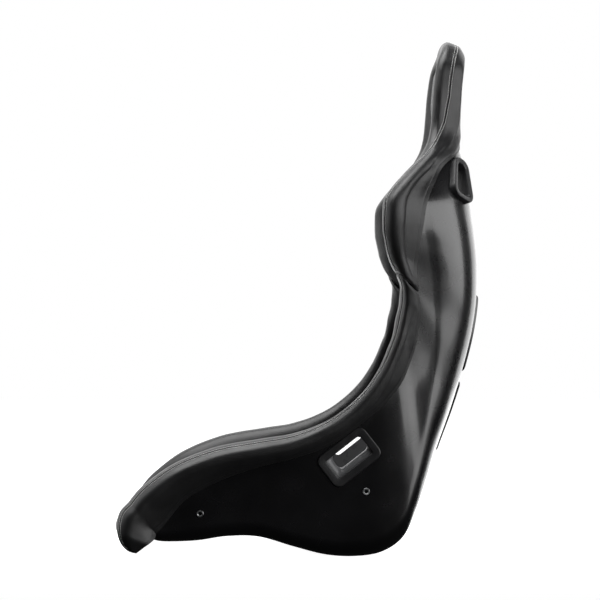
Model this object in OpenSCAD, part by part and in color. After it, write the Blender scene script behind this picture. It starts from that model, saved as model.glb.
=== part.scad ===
// Fixed-back racing seat: one moulded fibreglass bucket with flat side walls for side mounts,
// trimmed harness slots, padded rolls round its rim and hook-and-loop cushions inside.
// Frame: the sitter faces -Y, +Z is up, X = 0 is the plane of symmetry.

/* [Overall] */
// Height of the seat, floor to the top of the head cover
seat_height = 907; // [800:1:1000]
// Depth of the bare moulding, pan lip to the rearmost point of the back
seat_depth = 620; // [520:1:700]
// Outside width across the flat side walls at hip height
hip_width = 410; // [360:1:500]
// Outside width of the moulding's rim at the shoulders
shoulder_width = 512; // [440:1:580]
// Outside width of the moulding at head height
head_width = 262; // [220:1:300]

/* [Moulding] */
// Wall of the fibreglass moulding
wall = 5; // [3:0.5:8]
// How far the bonded stiffening strips stand proud of the back
rib_rise = 5.5; // [2:0.5:8]
// Width of the stiffening strips
rib_w = 180; // [100:1:200]

/* [Side mounts] */
// Distance between the front and rear side-mount holes
mount_pitch = 290; // [250:1:320]
// Rise of the line of mount holes towards the rear, in degrees
mount_tilt = 7.6; // [0:0.1:12]
// Height of the front hole above the floor
mount_z = 76; // [66:1:90]
// Place of the front hole ahead of the origin
mount_ahead = 166; // [148:1:180]
// Tapping radius of the M8 thread
thread_r = 3.4; // [2.5:0.1:4.2]
// Outside radius of the threaded insert
insert_r = 6; // [5:0.1:8]
// Height of the mount strip that carries the inserts
strip_h = 32; // [24:1:36]
// Thickness of the mount strip
strip_t = 2.5; // [2:0.1:3]

/* [Harness slots] */
// Length of the lap-belt opening
lap_l = 74; // [60:1:80]
// Height of the lap-belt opening
lap_h = 38; // [26:1:40]
// Slope of the lap-belt opening, in degrees
lap_tilt = 38; // [20:1:50]
// Width of the trim ring round the lap-belt opening
lap_rim = 13.5; // [8:0.5:16]
// Length of the shoulder-belt opening
shoulder_l = 60; // [50:1:70]
// Width of the shoulder-belt opening
shoulder_h = 36; // [26:1:42]
// Width of the trim ring round the shoulder-belt opening
shoulder_rim = 11; // [6:0.5:14]
// Length of the crotch-belt opening
crotch_l = 60; // [50:1:80]
// Width of the crotch-belt opening
crotch_h = 28; // [20:1:34]
// Width of the trim ring round the crotch-belt opening
crotch_rim = 9; // [6:0.5:12]
// Height that each trim ring stands off the surface it covers
trim_rise = 3.5; // [2:0.5:5]

/* [Upholstery] */
// Thickness of the lining and of every cover
cover_t = 2.5; // [1.5:0.5:4]
// Height of the rim roll above the moulding's edge
roll_rise = 12; // [8:0.5:16]
// Bulge of the rim roll outside the moulding
roll_out = 12; // [8:0.5:16]
// Thickness of the thigh bolsters on the inside
thigh_pad = 36; // [20:1:44]
// Thickness of the shoulder bolsters on the inside
shoulder_pad = 30; // [16:1:40]
// Thickness of the head wings on the inside
wing_pad = 22; // [12:1:30]
// Thickness of the seat cushion
seat_pad = 46; // [25:1:60]
// Thickness of the back cushion
back_pad = 36; // [20:1:45]
// Thickness of the head cushion
head_pad = 30; // [16:1:40]
// Thickness of the hook-and-loop strips
hook_t = 1.6; // [1:0.1:3]
// Gap left between pieces that lie on each other
gap = 0.3; // [0.2:0.05:0.6]

/* [Hidden] */
$fn = 48;

// The sizes that the station table was drawn at
drawn_height = 907;
drawn_depth = 620;
drawn_hip = 410;
drawn_shoulder = 512;
drawn_head = 262;

// Stations along the moulding from the middle of the pan lip to the middle of the head's top edge:
// [knee x, y, z, rim x, y, z, corner radius, share of the wall that stays flat, aim, hem drop]
// The knee is the sharp corner between floor and side wall, before the corner radius rounds it. Aim
// is the turn, in degrees, from straight along the seat to straight across it, of the way in from
// the knee. Hem drop is how far the outside of the rim cover reaches down from the rim.
stations = [
    [0, -288, 42, 0, -304, 42, 12, 0.2, 0, 14],
    [80, -285, 40, 84, -301, 40, 12, 0.2, 5, 14],
    [150, -275, 36, 158, -292, 38, 13, 0.2, 14, 16],
    [193, -260, 31, 208, -286, 48, 18, 0.3, 45, 30],
    [205, -238, 27, 222, -279, 72, 24, 0.4, 90, 50],
    [205, -209, 26, 223, -252, 108, 26, 0.45, 90, 58],
    [205, -169, 28, 222, -202, 145, 28, 0.58, 90, 46],
    [205, -119, 35, 221, -134, 172, 28, 0.66, 90, 38],
    [205, -64, 34, 219, -62, 186, 28, 0.7, 90, 28],
    [205, -4, 17, 217, 1, 199, 28, 0.74, 90, 25],
    [205, 51, 3, 214, 62, 227, 30, 0.76, 90, 31],
    [205, 104, 0, 213, 112, 268, 32, 0.8, 90, 38],
    [205, 151, 8, 214, 148, 317, 36, 0.8, 90, 56],
    [203, 188, 34, 213, 170, 366, 42, 0.75, 90, 76],
    [200, 210, 80, 213, 178, 392, 50, 0.65, 90, 82],
    [196, 228, 130, 213, 183, 413, 60, 0.55, 90, 80],
    [193, 248, 190, 214, 187, 432, 70, 0.45, 90, 74],
    [190, 272, 255, 216, 189, 449, 78, 0.35, 90, 60],
    [190, 294, 325, 220, 189, 467, 84, 0.3, 90, 46],
    [192, 310, 390, 227, 183, 490, 88, 0.3, 90, 38],
    [198, 318, 450, 238, 172, 523, 90, 0.3, 90, 44],
    [206, 318, 510, 250, 167, 558, 92, 0.3, 90, 54],
    [212, 313, 560, 256, 168, 592, 92, 0.3, 90, 60],
    [210, 307, 603, 252, 172, 622, 90, 0.3, 90, 63],
    [192, 304, 640, 232, 190, 650, 80, 0.3, 90, 57],
    [166, 298, 680, 198, 218, 682, 62, 0.3, 90, 40],
    [143, 287, 714, 163, 243, 712, 36, 0.3, 90, 62],
    [133, 286, 748, 142, 256, 745, 20, 0.3, 90, 76],
    [131, 287, 785, 137, 260, 785, 16, 0.3, 90, 72],
    [129, 289, 822, 134, 263, 824, 16, 0.3, 88, 70],
    [120, 292, 858, 124, 269, 864, 14, 0.3, 65, 66],
    [88, 294, 882, 92, 277, 889, 12, 0.3, 28, 62],
    [42, 295, 891, 44, 279, 899, 11, 0.3, 6, 60],
    [0, 295, 892, 0, 279, 900, 11, 0.3, 0, 60]
];
last = len(stations) - 1;

// Rows of the table where the belt line, the neck and the head begin
belt_row = 18;
shoulder_row = 21;
neck_row = 27;
notch_row = 18.7;
wing_row = 26.3;

// Shares of half a section: middle to the start of the corner, and to its end
floor_share = 0.4;
corner_share = 0.6;
arc_weight = 0.7071;

function unit(v) = v / norm(v);
function ramp(x, a, b) = let (t = min(max((x - a) / (b - a), 0), 1)) t * t * (3 - 2 * t);
function flip(p) = [-p[0], p[1], p[2]];
function mix(a, b, t) = a + (b - a) * t;

hip_scale = hip_width / drawn_hip;
shoulder_scale = shoulder_width / drawn_shoulder;
head_scale = head_width / drawn_head;
depth_scale = seat_depth / drawn_depth;
height_scale = seat_height / drawn_height;
function across(row) =
    mix(mix(hip_scale, shoulder_scale, ramp(row, belt_row - 4, shoulder_row)),
        head_scale, ramp(row, shoulder_row + 2, neck_row));

// A station row at the set sizes. A row past an end is the mirror image of the row before it.
function row(i) = let (
    k = i < 0 ? -i : i > last ? 2 * last - i : i,
    side = i < 0 || i > last ? -1 : 1,
    s = stations[k],
    a = across(k) * side
) [s[0] * a, s[1] * depth_scale, s[2] * height_scale,
   s[3] * a, s[4] * depth_scale, s[5] * height_scale, s[6], s[7], s[8], s[9]];

// A smooth curve through the rows
function row_at(u) = let (
    c = min(max(u, 0), last),
    i = min(floor(c), last - 1),
    t = c - i,
    a = row(i - 1),
    b = row(i),
    d = row(i + 1),
    e = row(i + 2)
) 0.5 * (2 * b + (d - a) * t + (2 * a - 5 * b + 4 * d - e) * t * t
    + (3 * b - a - 3 * d + e) * t * t * t);

function knee(s) = [s[0], s[1], s[2]];
function rim(s) = [s[3], s[4], s[5]];
function hem_drop(u) = row_at(u)[9];

// The way in from the knee, along the floor of the section
function way_in(s, u) = let (ahead = u < last / 2 ? [0, 1, 0] : [0, 0, -1])
    unit([-sin(s[8]), 0, 0] + cos(s[8]) * ahead);

// A point of the moulding's outside, u along the stations and v from the middle to the rim
function half_point(u, v) = let (
    s = row_at(u),
    k = knee(s),
    r = rim(s),
    length = norm([0, r[1] - k[1], r[2] - k[2]]),
    cut = min(s[6], 0.8 * length),
    b = k + cut * way_in(s, u),
    w = wall_point(s, k, r, cut / length)
) v <= floor_share ? [b[0] * v / floor_share, b[1], b[2]]
    : v >= corner_share
        ? wall_point(s, k, r, mix(cut / length, 1, (v - corner_share) / (1 - corner_share)))
    : arc_point(b, k, w, (v - floor_share) / (corner_share - floor_share));

// The side wall stays in the knee's plane for its flat share and flares out to the rim above it
function wall_point(s, k, r, t) = let (flare = max(0, (t - s[7]) / (1 - s[7])))
    [mix(k[0], r[0], pow(flare, 1.5)), mix(k[1], r[1], t), mix(k[2], r[2], t)];

function arc_point(b, k, w, t) = let (
    wb = (1 - t) * (1 - t),
    wk = 2 * arc_weight * t * (1 - t),
    ww = t * t
) (wb * b + wk * k + ww * w) / (wb + wk + ww);

step = 0.02;
function along(u, v) = u <= 0 ? [1, 0, 0] : u >= last ? [-1, 0, 0]
    : half_point(u + step, v) - half_point(u - step, v);
function over(u, v) = half_point(u, min(v + step / 2, 1)) - half_point(u, v - step / 2);
function inward(u, v) = unit(cross(over(u, max(v, step)), along(u, v)));

// A point at depth d below the outside of the moulding, towards the sitter
function inside_half(u, v, d) = let (w = u <= 0 || u >= last ? max(v, floor_share + step) : v)
    half_point(u, w) + d * inward(u, w);
function inside(u, v, d) = v < 0 ? flip(inside_half(u, -v, d)) : inside_half(u, v, d);

// Solid between two grids of points with the same rows and columns
module slab(outer, inner) {
    rows = len(outer);
    cols = len(outer[0]);
    layer = rows * cols;
    points = concat([for (r = outer) each r], [for (r = inner) each r]);
    function at(i, j, k) = k * layer + i * cols + j;
    polyhedron(points, concat(
        [for (i = [0:rows - 2], j = [0:cols - 2]) each [
            [at(i, j, 0), at(i, j + 1, 0), at(i + 1, j + 1, 0)],
            [at(i, j, 0), at(i + 1, j + 1, 0), at(i + 1, j, 0)],
            [at(i, j, 1), at(i + 1, j + 1, 1), at(i, j + 1, 1)],
            [at(i, j, 1), at(i + 1, j, 1), at(i + 1, j + 1, 1)]]],
        [for (i = [0:rows - 2]) each [
            [at(i, 0, 0), at(i + 1, 0, 0), at(i + 1, 0, 1)],
            [at(i, 0, 0), at(i + 1, 0, 1), at(i, 0, 1)],
            [at(i, cols - 1, 0), at(i + 1, cols - 1, 1), at(i + 1, cols - 1, 0)],
            [at(i, cols - 1, 0), at(i, cols - 1, 1), at(i + 1, cols - 1, 1)]]],
        [for (j = [0:cols - 2]) each [
            [at(0, j, 0), at(0, j + 1, 1), at(0, j + 1, 0)],
            [at(0, j, 0), at(0, j, 1), at(0, j + 1, 1)],
            [at(rows - 1, j, 0), at(rows - 1, j + 1, 0), at(rows - 1, j + 1, 1)],
            [at(rows - 1, j, 0), at(rows - 1, j + 1, 1), at(rows - 1, j, 1)]]]
    ), convexity = 8);
}

// Moulded bucket
floor_cols = 2;
corner_cols = 5;
wall_cols = 5;
columns = concat(
    [for (j = [0:floor_cols - 1]) floor_share * j / floor_cols],
    [for (j = [0:corner_cols - 1]) floor_share + (corner_share - floor_share) * j / corner_cols],
    [for (j = [0:wall_cols]) corner_share + (1 - corner_share) * j / wall_cols]);
half = len(columns) - 1;
width = 2 * half + 1;

// Both end rows close on themselves, because their left and right halves are the same points
module bucket(d_out, d_in, row_step) {
    us = [for (u = [0:row_step:last]) u];
    rows = len(us);
    layer = rows * width;
    function v_of(j) = j < half ? -columns[half - j] : columns[j - half];
    function col(i, j) = i > 0 && i < rows - 1 ? j
        : max(j, 2 * half - j) < half + floor_cols ? half + floor_cols : max(j, 2 * half - j);
    function at(i, j, k) = k * layer + i * width + col(i, j);
    function tri(a, b, c) = a == b || b == c || a == c ? [] : [[a, b, c]];
    points = [for (d = [d_out, d_in], u = us, j = [0:width - 1]) inside(u, v_of(j), d)];
    polyhedron(points, concat(
        [for (i = [0:rows - 2], j = [0:width - 2]) each concat(
            tri(at(i, j, 0), at(i + 1, j + 1, 0), at(i, j + 1, 0)),
            tri(at(i, j, 0), at(i + 1, j, 0), at(i + 1, j + 1, 0)),
            tri(at(i, j, 1), at(i, j + 1, 1), at(i + 1, j + 1, 1)),
            tri(at(i, j, 1), at(i + 1, j + 1, 1), at(i + 1, j, 1)))],
        [for (i = [0:rows - 2]) each [
            [at(i, 0, 0), at(i + 1, 0, 1), at(i + 1, 0, 0)],
            [at(i, 0, 0), at(i, 0, 1), at(i + 1, 0, 1)],
            [at(i, width - 1, 0), at(i + 1, width - 1, 0), at(i + 1, width - 1, 1)],
            [at(i, width - 1, 0), at(i + 1, width - 1, 1), at(i, width - 1, 1)]]]
    ), convexity = 10);
}

hip_x = hip_width / 2;

// Outline of a rounded rectangle, exact arcs and all
module rounded(l, h, r) {
    square([l - 2 * r, h], center = true);
    square([l, h - 2 * r], center = true);
    for (x = [-1, 1], y = [-1, 1])
        translate([x * (l / 2 - r), y * (h / 2 - r)]) circle(r);
}

// A child drawn in the side wall's plane, its X along the wall and its Y up it, thickness outwards
module on_side(side, y, z, tilt, depth) {
    mirror([side < 0 ? 1 : 0, 0, 0])
        translate([hip_x - depth, y, z])
            rotate([tilt, 0, 0]) rotate([90, 0, 90]) children();
}

// Side mounts: an M8 insert at each end of a strip behind the side wall
mount_run = mount_pitch * cos(mount_tilt);
mount_climb = mount_pitch * sin(mount_tilt);
mount_mid = [-mount_ahead + mount_run / 2, mount_z + mount_climb / 2];
flange_t = 1;
strip_margin = 26;
insert_depth = wall + strip_t + gap;

module at_mounts(side) {
    for (end = [-1, 1])
        on_side(side, mount_mid[0], mount_mid[1], mount_tilt, 0)
            translate([end * mount_pitch / 2, 0, 0]) children();
}

module mount_inserts(side) {
    color("#b9bcc0") at_mounts(side) difference() {
        translate([0, 0, -insert_depth]) cylinder(h = insert_depth + flange_t, r = insert_r);
        translate([0, 0, -insert_depth - 1]) cylinder(h = insert_depth + flange_t + 2, r = thread_r);
    }
}

module mount_strip(side) {
    color("#8d9094") difference() {
        on_side(side, mount_mid[0], mount_mid[1], mount_tilt, wall + gap / 2 + strip_t)
            linear_extrude(strip_t) rounded(mount_pitch + 2 * strip_margin, strip_h, strip_h / 3);
        at_mounts(side) translate([0, 0, -2 * insert_depth])
            cylinder(h = 4 * insert_depth, r = insert_r + gap);
    }
}

// Lap-belt slots in the side walls
lap_y = 92;
lap_z = 174;
lap_r = 3;
lap_bezel_r = 14;
collar = 2.5;

module lap_hole(grow) {
    rounded(lap_l + 2 * grow, lap_h + 2 * grow, lap_r + grow);
}

module lap_slot_bezel(side) {
    color("#1b1c1e") on_side(side, lap_y, lap_z, lap_tilt, 0) difference() {
        union() {
            linear_extrude(trim_rise) rounded(lap_l + 2 * lap_rim, lap_h + 2 * lap_rim, lap_bezel_r);
            translate([0, 0, -wall / 2]) linear_extrude(wall / 2 + 1) lap_hole(collar);
        }
        translate([0, 0, -20]) linear_extrude(40) lap_hole(0);
    }
}

lining_near = wall + strip_t + 2 * gap;
lining_far = lining_near + cover_t;

module lap_slot_inner_trim(side) {
    color("#1b1c1e") on_side(side, lap_y, lap_z, lap_tilt, 0) difference() {
        union() {
            translate([0, 0, -lining_far - gap - trim_rise])
                linear_extrude(trim_rise)
                    rounded(lap_l + 2 * lap_rim, lap_h + 2 * lap_rim, lap_bezel_r);
            translate([0, 0, -lining_far - gap - 1])
                linear_extrude(lining_far + gap + 1 - wall / 2 - gap) lap_hole(collar);
        }
        translate([0, 0, -30]) linear_extrude(60) lap_hole(0);
    }
}

// A child drawn on the moulding's outside at (u, v): X across, Y along the stations, Z outwards
module on_surface(side, u, v) {
    c = half_point(u, v);
    z = -inward(u, v);
    y = unit(along(u, v) - (along(u, v) * z) * z);
    x = cross(y, z);
    mirror([side < 0 ? 1 : 0, 0, 0])
        multmatrix([[x[0], y[0], z[0], c[0]], [x[1], y[1], z[1], c[1]],
                    [x[2], y[2], z[2], c[2]], [0, 0, 0, 1]]) children();
}

// Shoulder-belt slots, in the rear corners of the moulding below the neck
shoulder_u = 24.35;
shoulder_v = 0.485;
shoulder_r = 8;
shoulder_taper = 0.35;
shoulder_depth = 7;
shoulder_reach = 19;

module shoulder_hole(grow) {
    x = shoulder_h / 2 - shoulder_r;
    y = shoulder_l / 2 - shoulder_r;
    hull() for (side = [-1, 1]) {
        translate([side * x, -y]) circle(shoulder_r + grow);
        translate([side * x * shoulder_taper, y]) circle(shoulder_r + grow);
    }
}

module shoulder_ring(low, high) {
    translate([0, 0, low]) linear_extrude(high - low) difference() {
        shoulder_hole(shoulder_rim);
        shoulder_hole(0);
    }
}

module shoulder_slot_bezel(side) {
    color("#1b1c1e") on_surface(side, shoulder_u, shoulder_v) shoulder_ring(-shoulder_depth, trim_rise);
}

module shoulder_slot_inner_trim(side) {
    color("#1b1c1e") on_surface(side, shoulder_u, shoulder_v)
        shoulder_ring(-shoulder_reach, -shoulder_depth - gap);
}

module shoulder_cut(side) {
    on_surface(side, shoulder_u, shoulder_v)
        translate([0, 0, -2 * shoulder_reach]) linear_extrude(3 * shoulder_reach)
            shoulder_hole(shoulder_rim + gap);
}

// Crotch-belt slot through the pan
crotch_u = 7.3;
crotch_r = 8;
crotch_bezel_r = 14;

module crotch_hole(grow) {
    rounded(crotch_l + 2 * grow, crotch_h + 2 * grow, crotch_r + grow);
}

module crotch_plate(z) {
    translate([0, 0, z]) linear_extrude(trim_rise)
        rounded(crotch_l + 2 * crotch_rim, crotch_h + 2 * crotch_rim, crotch_bezel_r);
}

module crotch_slot_bezel() {
    color("#1b1c1e") on_surface(1, crotch_u, 0) difference() {
        union() {
            crotch_plate(0);
            translate([0, 0, -wall / 2]) linear_extrude(wall / 2 + 1) crotch_hole(collar);
        }
        translate([0, 0, -30]) linear_extrude(60) crotch_hole(0);
    }
}

module crotch_slot_inner_trim() {
    color("#1b1c1e") on_surface(1, crotch_u, 0) difference() {
        union() {
            crotch_plate(-lining_far - gap - trim_rise);
            translate([0, 0, -lining_far - gap - 1])
                linear_extrude(lining_far + 1 - wall / 2) crotch_hole(collar);
        }
        translate([0, 0, -40]) linear_extrude(60) crotch_hole(0);
    }
}

module shell() {
    color("#111214") difference() {
        bucket(0, wall, 1);
        for (side = [-1, 1]) {
            at_mounts(side) translate([0, 0, -20]) cylinder(h = 40, r = insert_r + gap);
            on_side(side, lap_y, lap_z, lap_tilt, 0)
                translate([0, 0, -20]) linear_extrude(40) lap_hole(collar + gap);
            shoulder_cut(side);
        }
        on_surface(1, crotch_u, 0)
            translate([0, 0, -20]) linear_extrude(40) crotch_hole(collar + gap);
    }
}

// Stiffening strips bonded to the back
function floor_run(u) = half_point(u, floor_share)[0];
strip_taper = 8;

module back_strip(u0, u1) {
    rows = [for (k = [0:6]) mix(u0, u1, k / 6)];
    function grid(d, w) = [for (u = rows) [for (k = [-3:3])
        inside(u, floor_share * (k / 3) * w / 2 / floor_run(u), d)]];
    color("#151618") slab(grid(-gap, rib_w), grid(-rib_rise, rib_w - strip_taper));
}

upper_strip_rows = [17.9, 20.1];
lower_strip_rows = [15.8, 17.7];
module upper_back_strip() { back_strip(upper_strip_rows[0], upper_strip_rows[1]); }
module lower_back_strip() { back_strip(lower_strip_rows[0], lower_strip_rows[1]); }

// Runs along a section, from the rim down: side wall, corner arc, floor
function wall_run(u) = norm(half_point(u, 1) - half_point(u, corner_share));
arc_stretch = 1.12;
function arc_run(u) = arc_stretch * norm(half_point(u, corner_share) - half_point(u, floor_share));
function v_down(u, drop) = let (w = wall_run(u), a = arc_run(u))
    drop < w ? 1 - (1 - corner_share) * drop / w
    : drop < w + a ? corner_share - (corner_share - floor_share) * (drop - w) / a
    : floor_share * (1 - (drop - w - a) / floor_run(u));

// A point of a rim cover: w above the rim (below it when negative), d inwards from the outside
function near_rim(u, w, d) = let (
    up = unit(half_point(u, 1) - half_point(u, 0.97))
) inside_half(u, w < 0 ? v_down(u, -w) : 1, d) + max(w, 0) * up;

// Section of a rim cover, outside hem to inside hem: [w, d, inset in w, inset in d, w and d of the
// moulding under it]
roll_w = 30;
head_out = 6;
function roll_section(u, pad, rise, hem_in) = let (
    hem = hem_drop(u),
    low = min(roll_w, 0.6 * hem),
    out = mix(roll_out, head_out, ramp(u, neck_row - 2, neck_row)),
    skin = cover_t + gap,
    in = wall + pad
) [
    [-hem, -skin, 0, 1, -hem, -gap],
    [-mix(hem, low, 0.5), -skin - 1, 0, 1, -mix(hem, low, 0.5), -gap],
    [-low, -skin - 2, 0, 1, -low, -gap],
    [-0.8 * low, -0.75 * out, 0, 1, -0.8 * low, -gap],
    [-0.4 * low, -out, 0, 1, -0.4 * low, -gap],
    [0, -0.9 * out, -0.3, 0.9, -0.5, -gap],
    [0.7 * rise, -0.4 * out, -0.7, 0.7, gap, -gap],
    [rise, 0.3 * in, -1, 0, gap, wall / 2],
    [0.75 * rise, 0.65 * in, -0.8, -0.6, gap, wall + gap],
    [0, 0.9 * in, -0.2, -1, -1, wall + gap],
    [-0.25 * hem_in, in, 0, -1, -0.25 * hem_in, wall + gap],
    [-0.55 * hem_in, 0.97 * in, 0, -1, -0.55 * hem_in, wall + gap],
    [-0.85 * hem_in, 0.8 * in, 0, -1, -0.85 * hem_in, wall + gap],
    [-hem_in, wall + skin + 6, 0, -1, -hem_in, wall + gap]
];
roll_points = 14;
foam_first = 3;

function part_of(list, a, b) = [for (i = [a:b]) list[i]];

// How far down the inside wall the pads reach, kept above the lap-belt slot and clear of the neck
front_reach = 56;
thigh_reach = 44;
hip_reach = 34;
chest_reach = 70;
neck_reach = 8;
thigh_row = 5;
hip_row = 9;
waist_row = 13;
hip_pad = 14;
wing_rise = 18;
function hem_inside(u) = u < waist_row
    ? mix(mix(front_reach, thigh_reach, ramp(u, thigh_row, hip_row)), hip_reach,
        ramp(u, hip_row, hip_row + 1))
    : mix(mix(hip_reach, chest_reach, ramp(u, waist_row, shoulder_row)), neck_reach,
        ramp(u, shoulder_row, wing_row));
function pad_of(u) = mix(mix(thigh_pad, hip_pad, ramp(u, hip_row - 1, hip_row + 2)),
    mix(shoulder_pad, wing_pad, ramp(u, neck_row - 3, neck_row)),
    ramp(u, waist_row - 1, belt_row + 1));
function rise_of(u) = mix(roll_rise, wing_rise, ramp(u, wing_row - 1, neck_row));

thigh_rows = [4, each [for (u = [4.75:0.75:18.25]) u], notch_row - 0.1];
shoulder_rows = [notch_row + 0.1, each [for (u = [19:0.5:26]) u], wing_row - 0.1];
head_rows = [wing_row, each [for (u = [27:1:32]) u]];

function section_of(u) = roll_section(u, pad_of(u), rise_of(u), hem_inside(u));
function roll_grid(us, inset) = [for (u = us) [for (q = section_of(u))
    near_rim(u, q[0] + inset * q[2], q[1] + inset * q[3])]];
function seat_grid(us) = [for (u = us) [for (q = section_of(u)) near_rim(u, q[4], q[5])]];
function foam_part(g) = [for (r = g) [for (i = [foam_first:roll_points - 1]) r[i]]];
function round_top(g) = concat(g, [for (i = [len(g) - 1:-1:0]) [for (p = g[i]) flip(p)]]);

module on_both(side) { mirror([side < 0 ? 1 : 0, 0, 0]) children(); }

// The front end of each thigh bolster comes down to the floor outside the moulding's corner:
// [height, outwards from the hip, middle in Y, half length in Y, half width in X]
toe = [[84, 37, -264, 21, 8], [72, 36, -268, 30, 12], [56, 32, -270, 32, 15], [40, 30, -273, 28, 18],
       [24, 30, -275, 21, 17], [14, 30, -276, 13, 12], [9, 30, -276, 6, 6]];
toe_sides = 12;

module bolster_toe() {
    n = len(toe);
    points = [for (t = toe, k = [0:toe_sides - 1]) [hip_x + t[1] + t[4] * cos(360 * k / toe_sides),
        t[2] * depth_scale + t[3] * sin(360 * k / toe_sides), t[0] * height_scale]];
    polyhedron(points, concat(
        [for (i = [0:n - 2], k = [0:toe_sides - 1]) let (m = (k + 1) % toe_sides) each [
            [i * toe_sides + k, i * toe_sides + m, (i + 1) * toe_sides + m],
            [i * toe_sides + k, (i + 1) * toe_sides + m, (i + 1) * toe_sides + k]]],
        [[for (k = [toe_sides - 1:-1:0]) k], [for (k = [0:toe_sides - 1]) (n - 1) * toe_sides + k]]));
}

module thigh_bolster_cover(side) {
    color("#26272a") on_both(side) {
        slab(roll_grid(thigh_rows, 0), roll_grid(thigh_rows, cover_t));
        bolster_toe();
    }
}

module bolster_foam(side, us) {
    color("#6f6f72") on_both(side)
        slab(foam_part(roll_grid(us, cover_t + gap)), foam_part(seat_grid(us)));
}

module thigh_bolster_foam(side) {
    bolster_foam(side, part_of(thigh_rows, 2, len(thigh_rows) - 1));
}

module shoulder_bolster_foam(side) { bolster_foam(side, shoulder_rows); }

module shoulder_bolster_cover(side) {
    color("#2b2c2f") on_both(side)
        slab(roll_grid(shoulder_rows, 0), roll_grid(shoulder_rows, cover_t));
}

module head_cover() {
    color("#26272a")
        slab(round_top(roll_grid(head_rows, 0)), round_top(roll_grid(head_rows, cover_t)));
}

module head_foam() {
    color("#6f6f72") slab(round_top(foam_part(roll_grid(head_rows, cover_t + gap))),
        round_top(foam_part(seat_grid(head_rows))));
}

// Lining of the bucket between the rolls
lining_margin = 4;
lining_wall_cols = 3;
lining_rows = [3.6, each [for (u = [4:0.5:32]) u]];
function lining_columns(u) = let (
    edge = v_down(u, hem_inside(u) + lining_margin),
    turn = min(corner_share, edge - 0.03)
) concat([for (j = [0:floor_cols - 1]) floor_share * j / floor_cols],
    [for (j = [0:corner_cols - 1]) mix(floor_share, turn, j / corner_cols)],
    [for (j = [0:lining_wall_cols]) mix(turn, edge, j / lining_wall_cols)]);
function both_halves(vs) = concat([for (i = [len(vs) - 1:-1:1]) -vs[i]], vs);
function lining_grid(d) = [for (u = lining_rows)
    [for (v = both_halves(lining_columns(u))) inside(u, v, d)]];

module lining() {
    color("#1d1e20") difference() {
        slab(lining_grid(lining_far), lining_grid(lining_near));
        for (side = [-1, 1]) {
            on_side(side, lap_y, lap_z, lap_tilt, 0)
                translate([0, 0, -30]) linear_extrude(60) lap_hole(collar + gap);
            shoulder_cut(side);
        }
        on_surface(1, crotch_u, 0)
            translate([0, 0, -30]) linear_extrude(60) crotch_hole(collar + gap);
    }
}

// Cushions, held to the lining by hook-and-loop strips
pad_base = lining_far + hook_t + gap;
pad_cols = 5;
edge_h = cover_t + gap + 2;
function pad_turn(j) = 90 * j / pad_cols;
function pad_across(j) = sign(j) * pow(abs(sin(pad_turn(j))), 0.7);
function pad_crown(j) = pow(abs(cos(pad_turn(j))), 0.4);

// Height of a cushion along its length: it falls to its edge within end_share of each end
end_share = 0.12;
function pad_end(t) = let (e = min(t, 1 - t) / end_share) e >= 1 ? 1 : sqrt(1 - (1 - e) * (1 - e));

// A cushion lying on the moulding, from row u0 to u1 and out to a half width
widest_pad = 1.35;
function pad_grid(u0, u1, half_w, thick, count, inset, base) = [for (i = [0:count]) let (
    u = mix(u0, u1, i / count),
    v = floor_share * min(half_w / floor_run(u), widest_pad),
    shrink = 1 - inset / half_w
) [for (j = [-pad_cols:pad_cols]) inside(u, v * shrink * pad_across(j),
    pad_base + (base ? 0 : edge_h + (thick - edge_h) * pad_end(i / count) * pad_crown(j) - inset))]];

back_u = [14.5, 22];
back_half = 128;
back_steps = 15;
head_u = [27.5, 30.5];
head_half = 94;
head_steps = 6;
core = cover_t + gap;

module cushion_cover(u, w, thick, steps) {
    slab(pad_grid(u[0], u[1], w, thick, steps, 0, false),
         pad_grid(u[0], u[1], w, thick, steps, cover_t, false));
}

module cushion_foam(u, w, thick, steps) {
    slab(pad_grid(u[0], u[1], w, thick, steps, core, false),
         pad_grid(u[0], u[1], w, thick, steps, core, true));
}

module back_cushion_cover() {
    color("#222326") cushion_cover(back_u, back_half, back_pad, back_steps);
}

module back_cushion_foam() {
    color("#707074") cushion_foam(back_u, back_half, back_pad, back_steps);
}

module head_cushion_cover() {
    color("#222326") cushion_cover(head_u, head_half, head_pad, head_steps);
}

module head_cushion_foam() {
    color("#707074") cushion_foam(head_u, head_half, head_pad, head_steps);
}

// Seat cushion: its rows lie on the pan, and its nose rolls over the lip in front of it
seat_u = [11.5, 4.5];
seat_steps = 14;
seat_half = 160;
// [Y and Z of the underside, Y and Z of the top] of each row of the nose
nose = [[-266, 54, -268, 92], [-292, 54, -296, 81], [-308, 52, -318, 66], [-309, 40, -324, 46],
        [-309, 31, -316, 31]];
function seat_row(i) = let (
    u = mix(seat_u[0], seat_u[1], i / seat_steps),
    low = inside(u, 0, pad_base),
    high = inside(u, 0, pad_base + seat_pad * pad_end(0.5 * min(1, (i + 0.3) / seat_steps)))
) [low[1], low[2], high[1], high[2]];
function seat_profile() = concat([for (i = [0:seat_steps]) seat_row(i)],
    [for (n = nose) [n[0] * depth_scale, n[1], n[2] * depth_scale, n[3]]]);
function seat_cushion_grid(inset, base) = [for (s = seat_profile()) let (
    low = [0, s[0], s[1]],
    high = [0, s[2], s[3]],
    thick = max(norm(high - low), edge_h + 1),
    up = unit(high - low)
) [for (j = [-pad_cols:pad_cols]) [(seat_half - inset) * pad_across(j), 0, 0] + low
    + up * (base ? 0 : edge_h + (thick - edge_h) * pad_crown(j) - inset)]];

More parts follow.
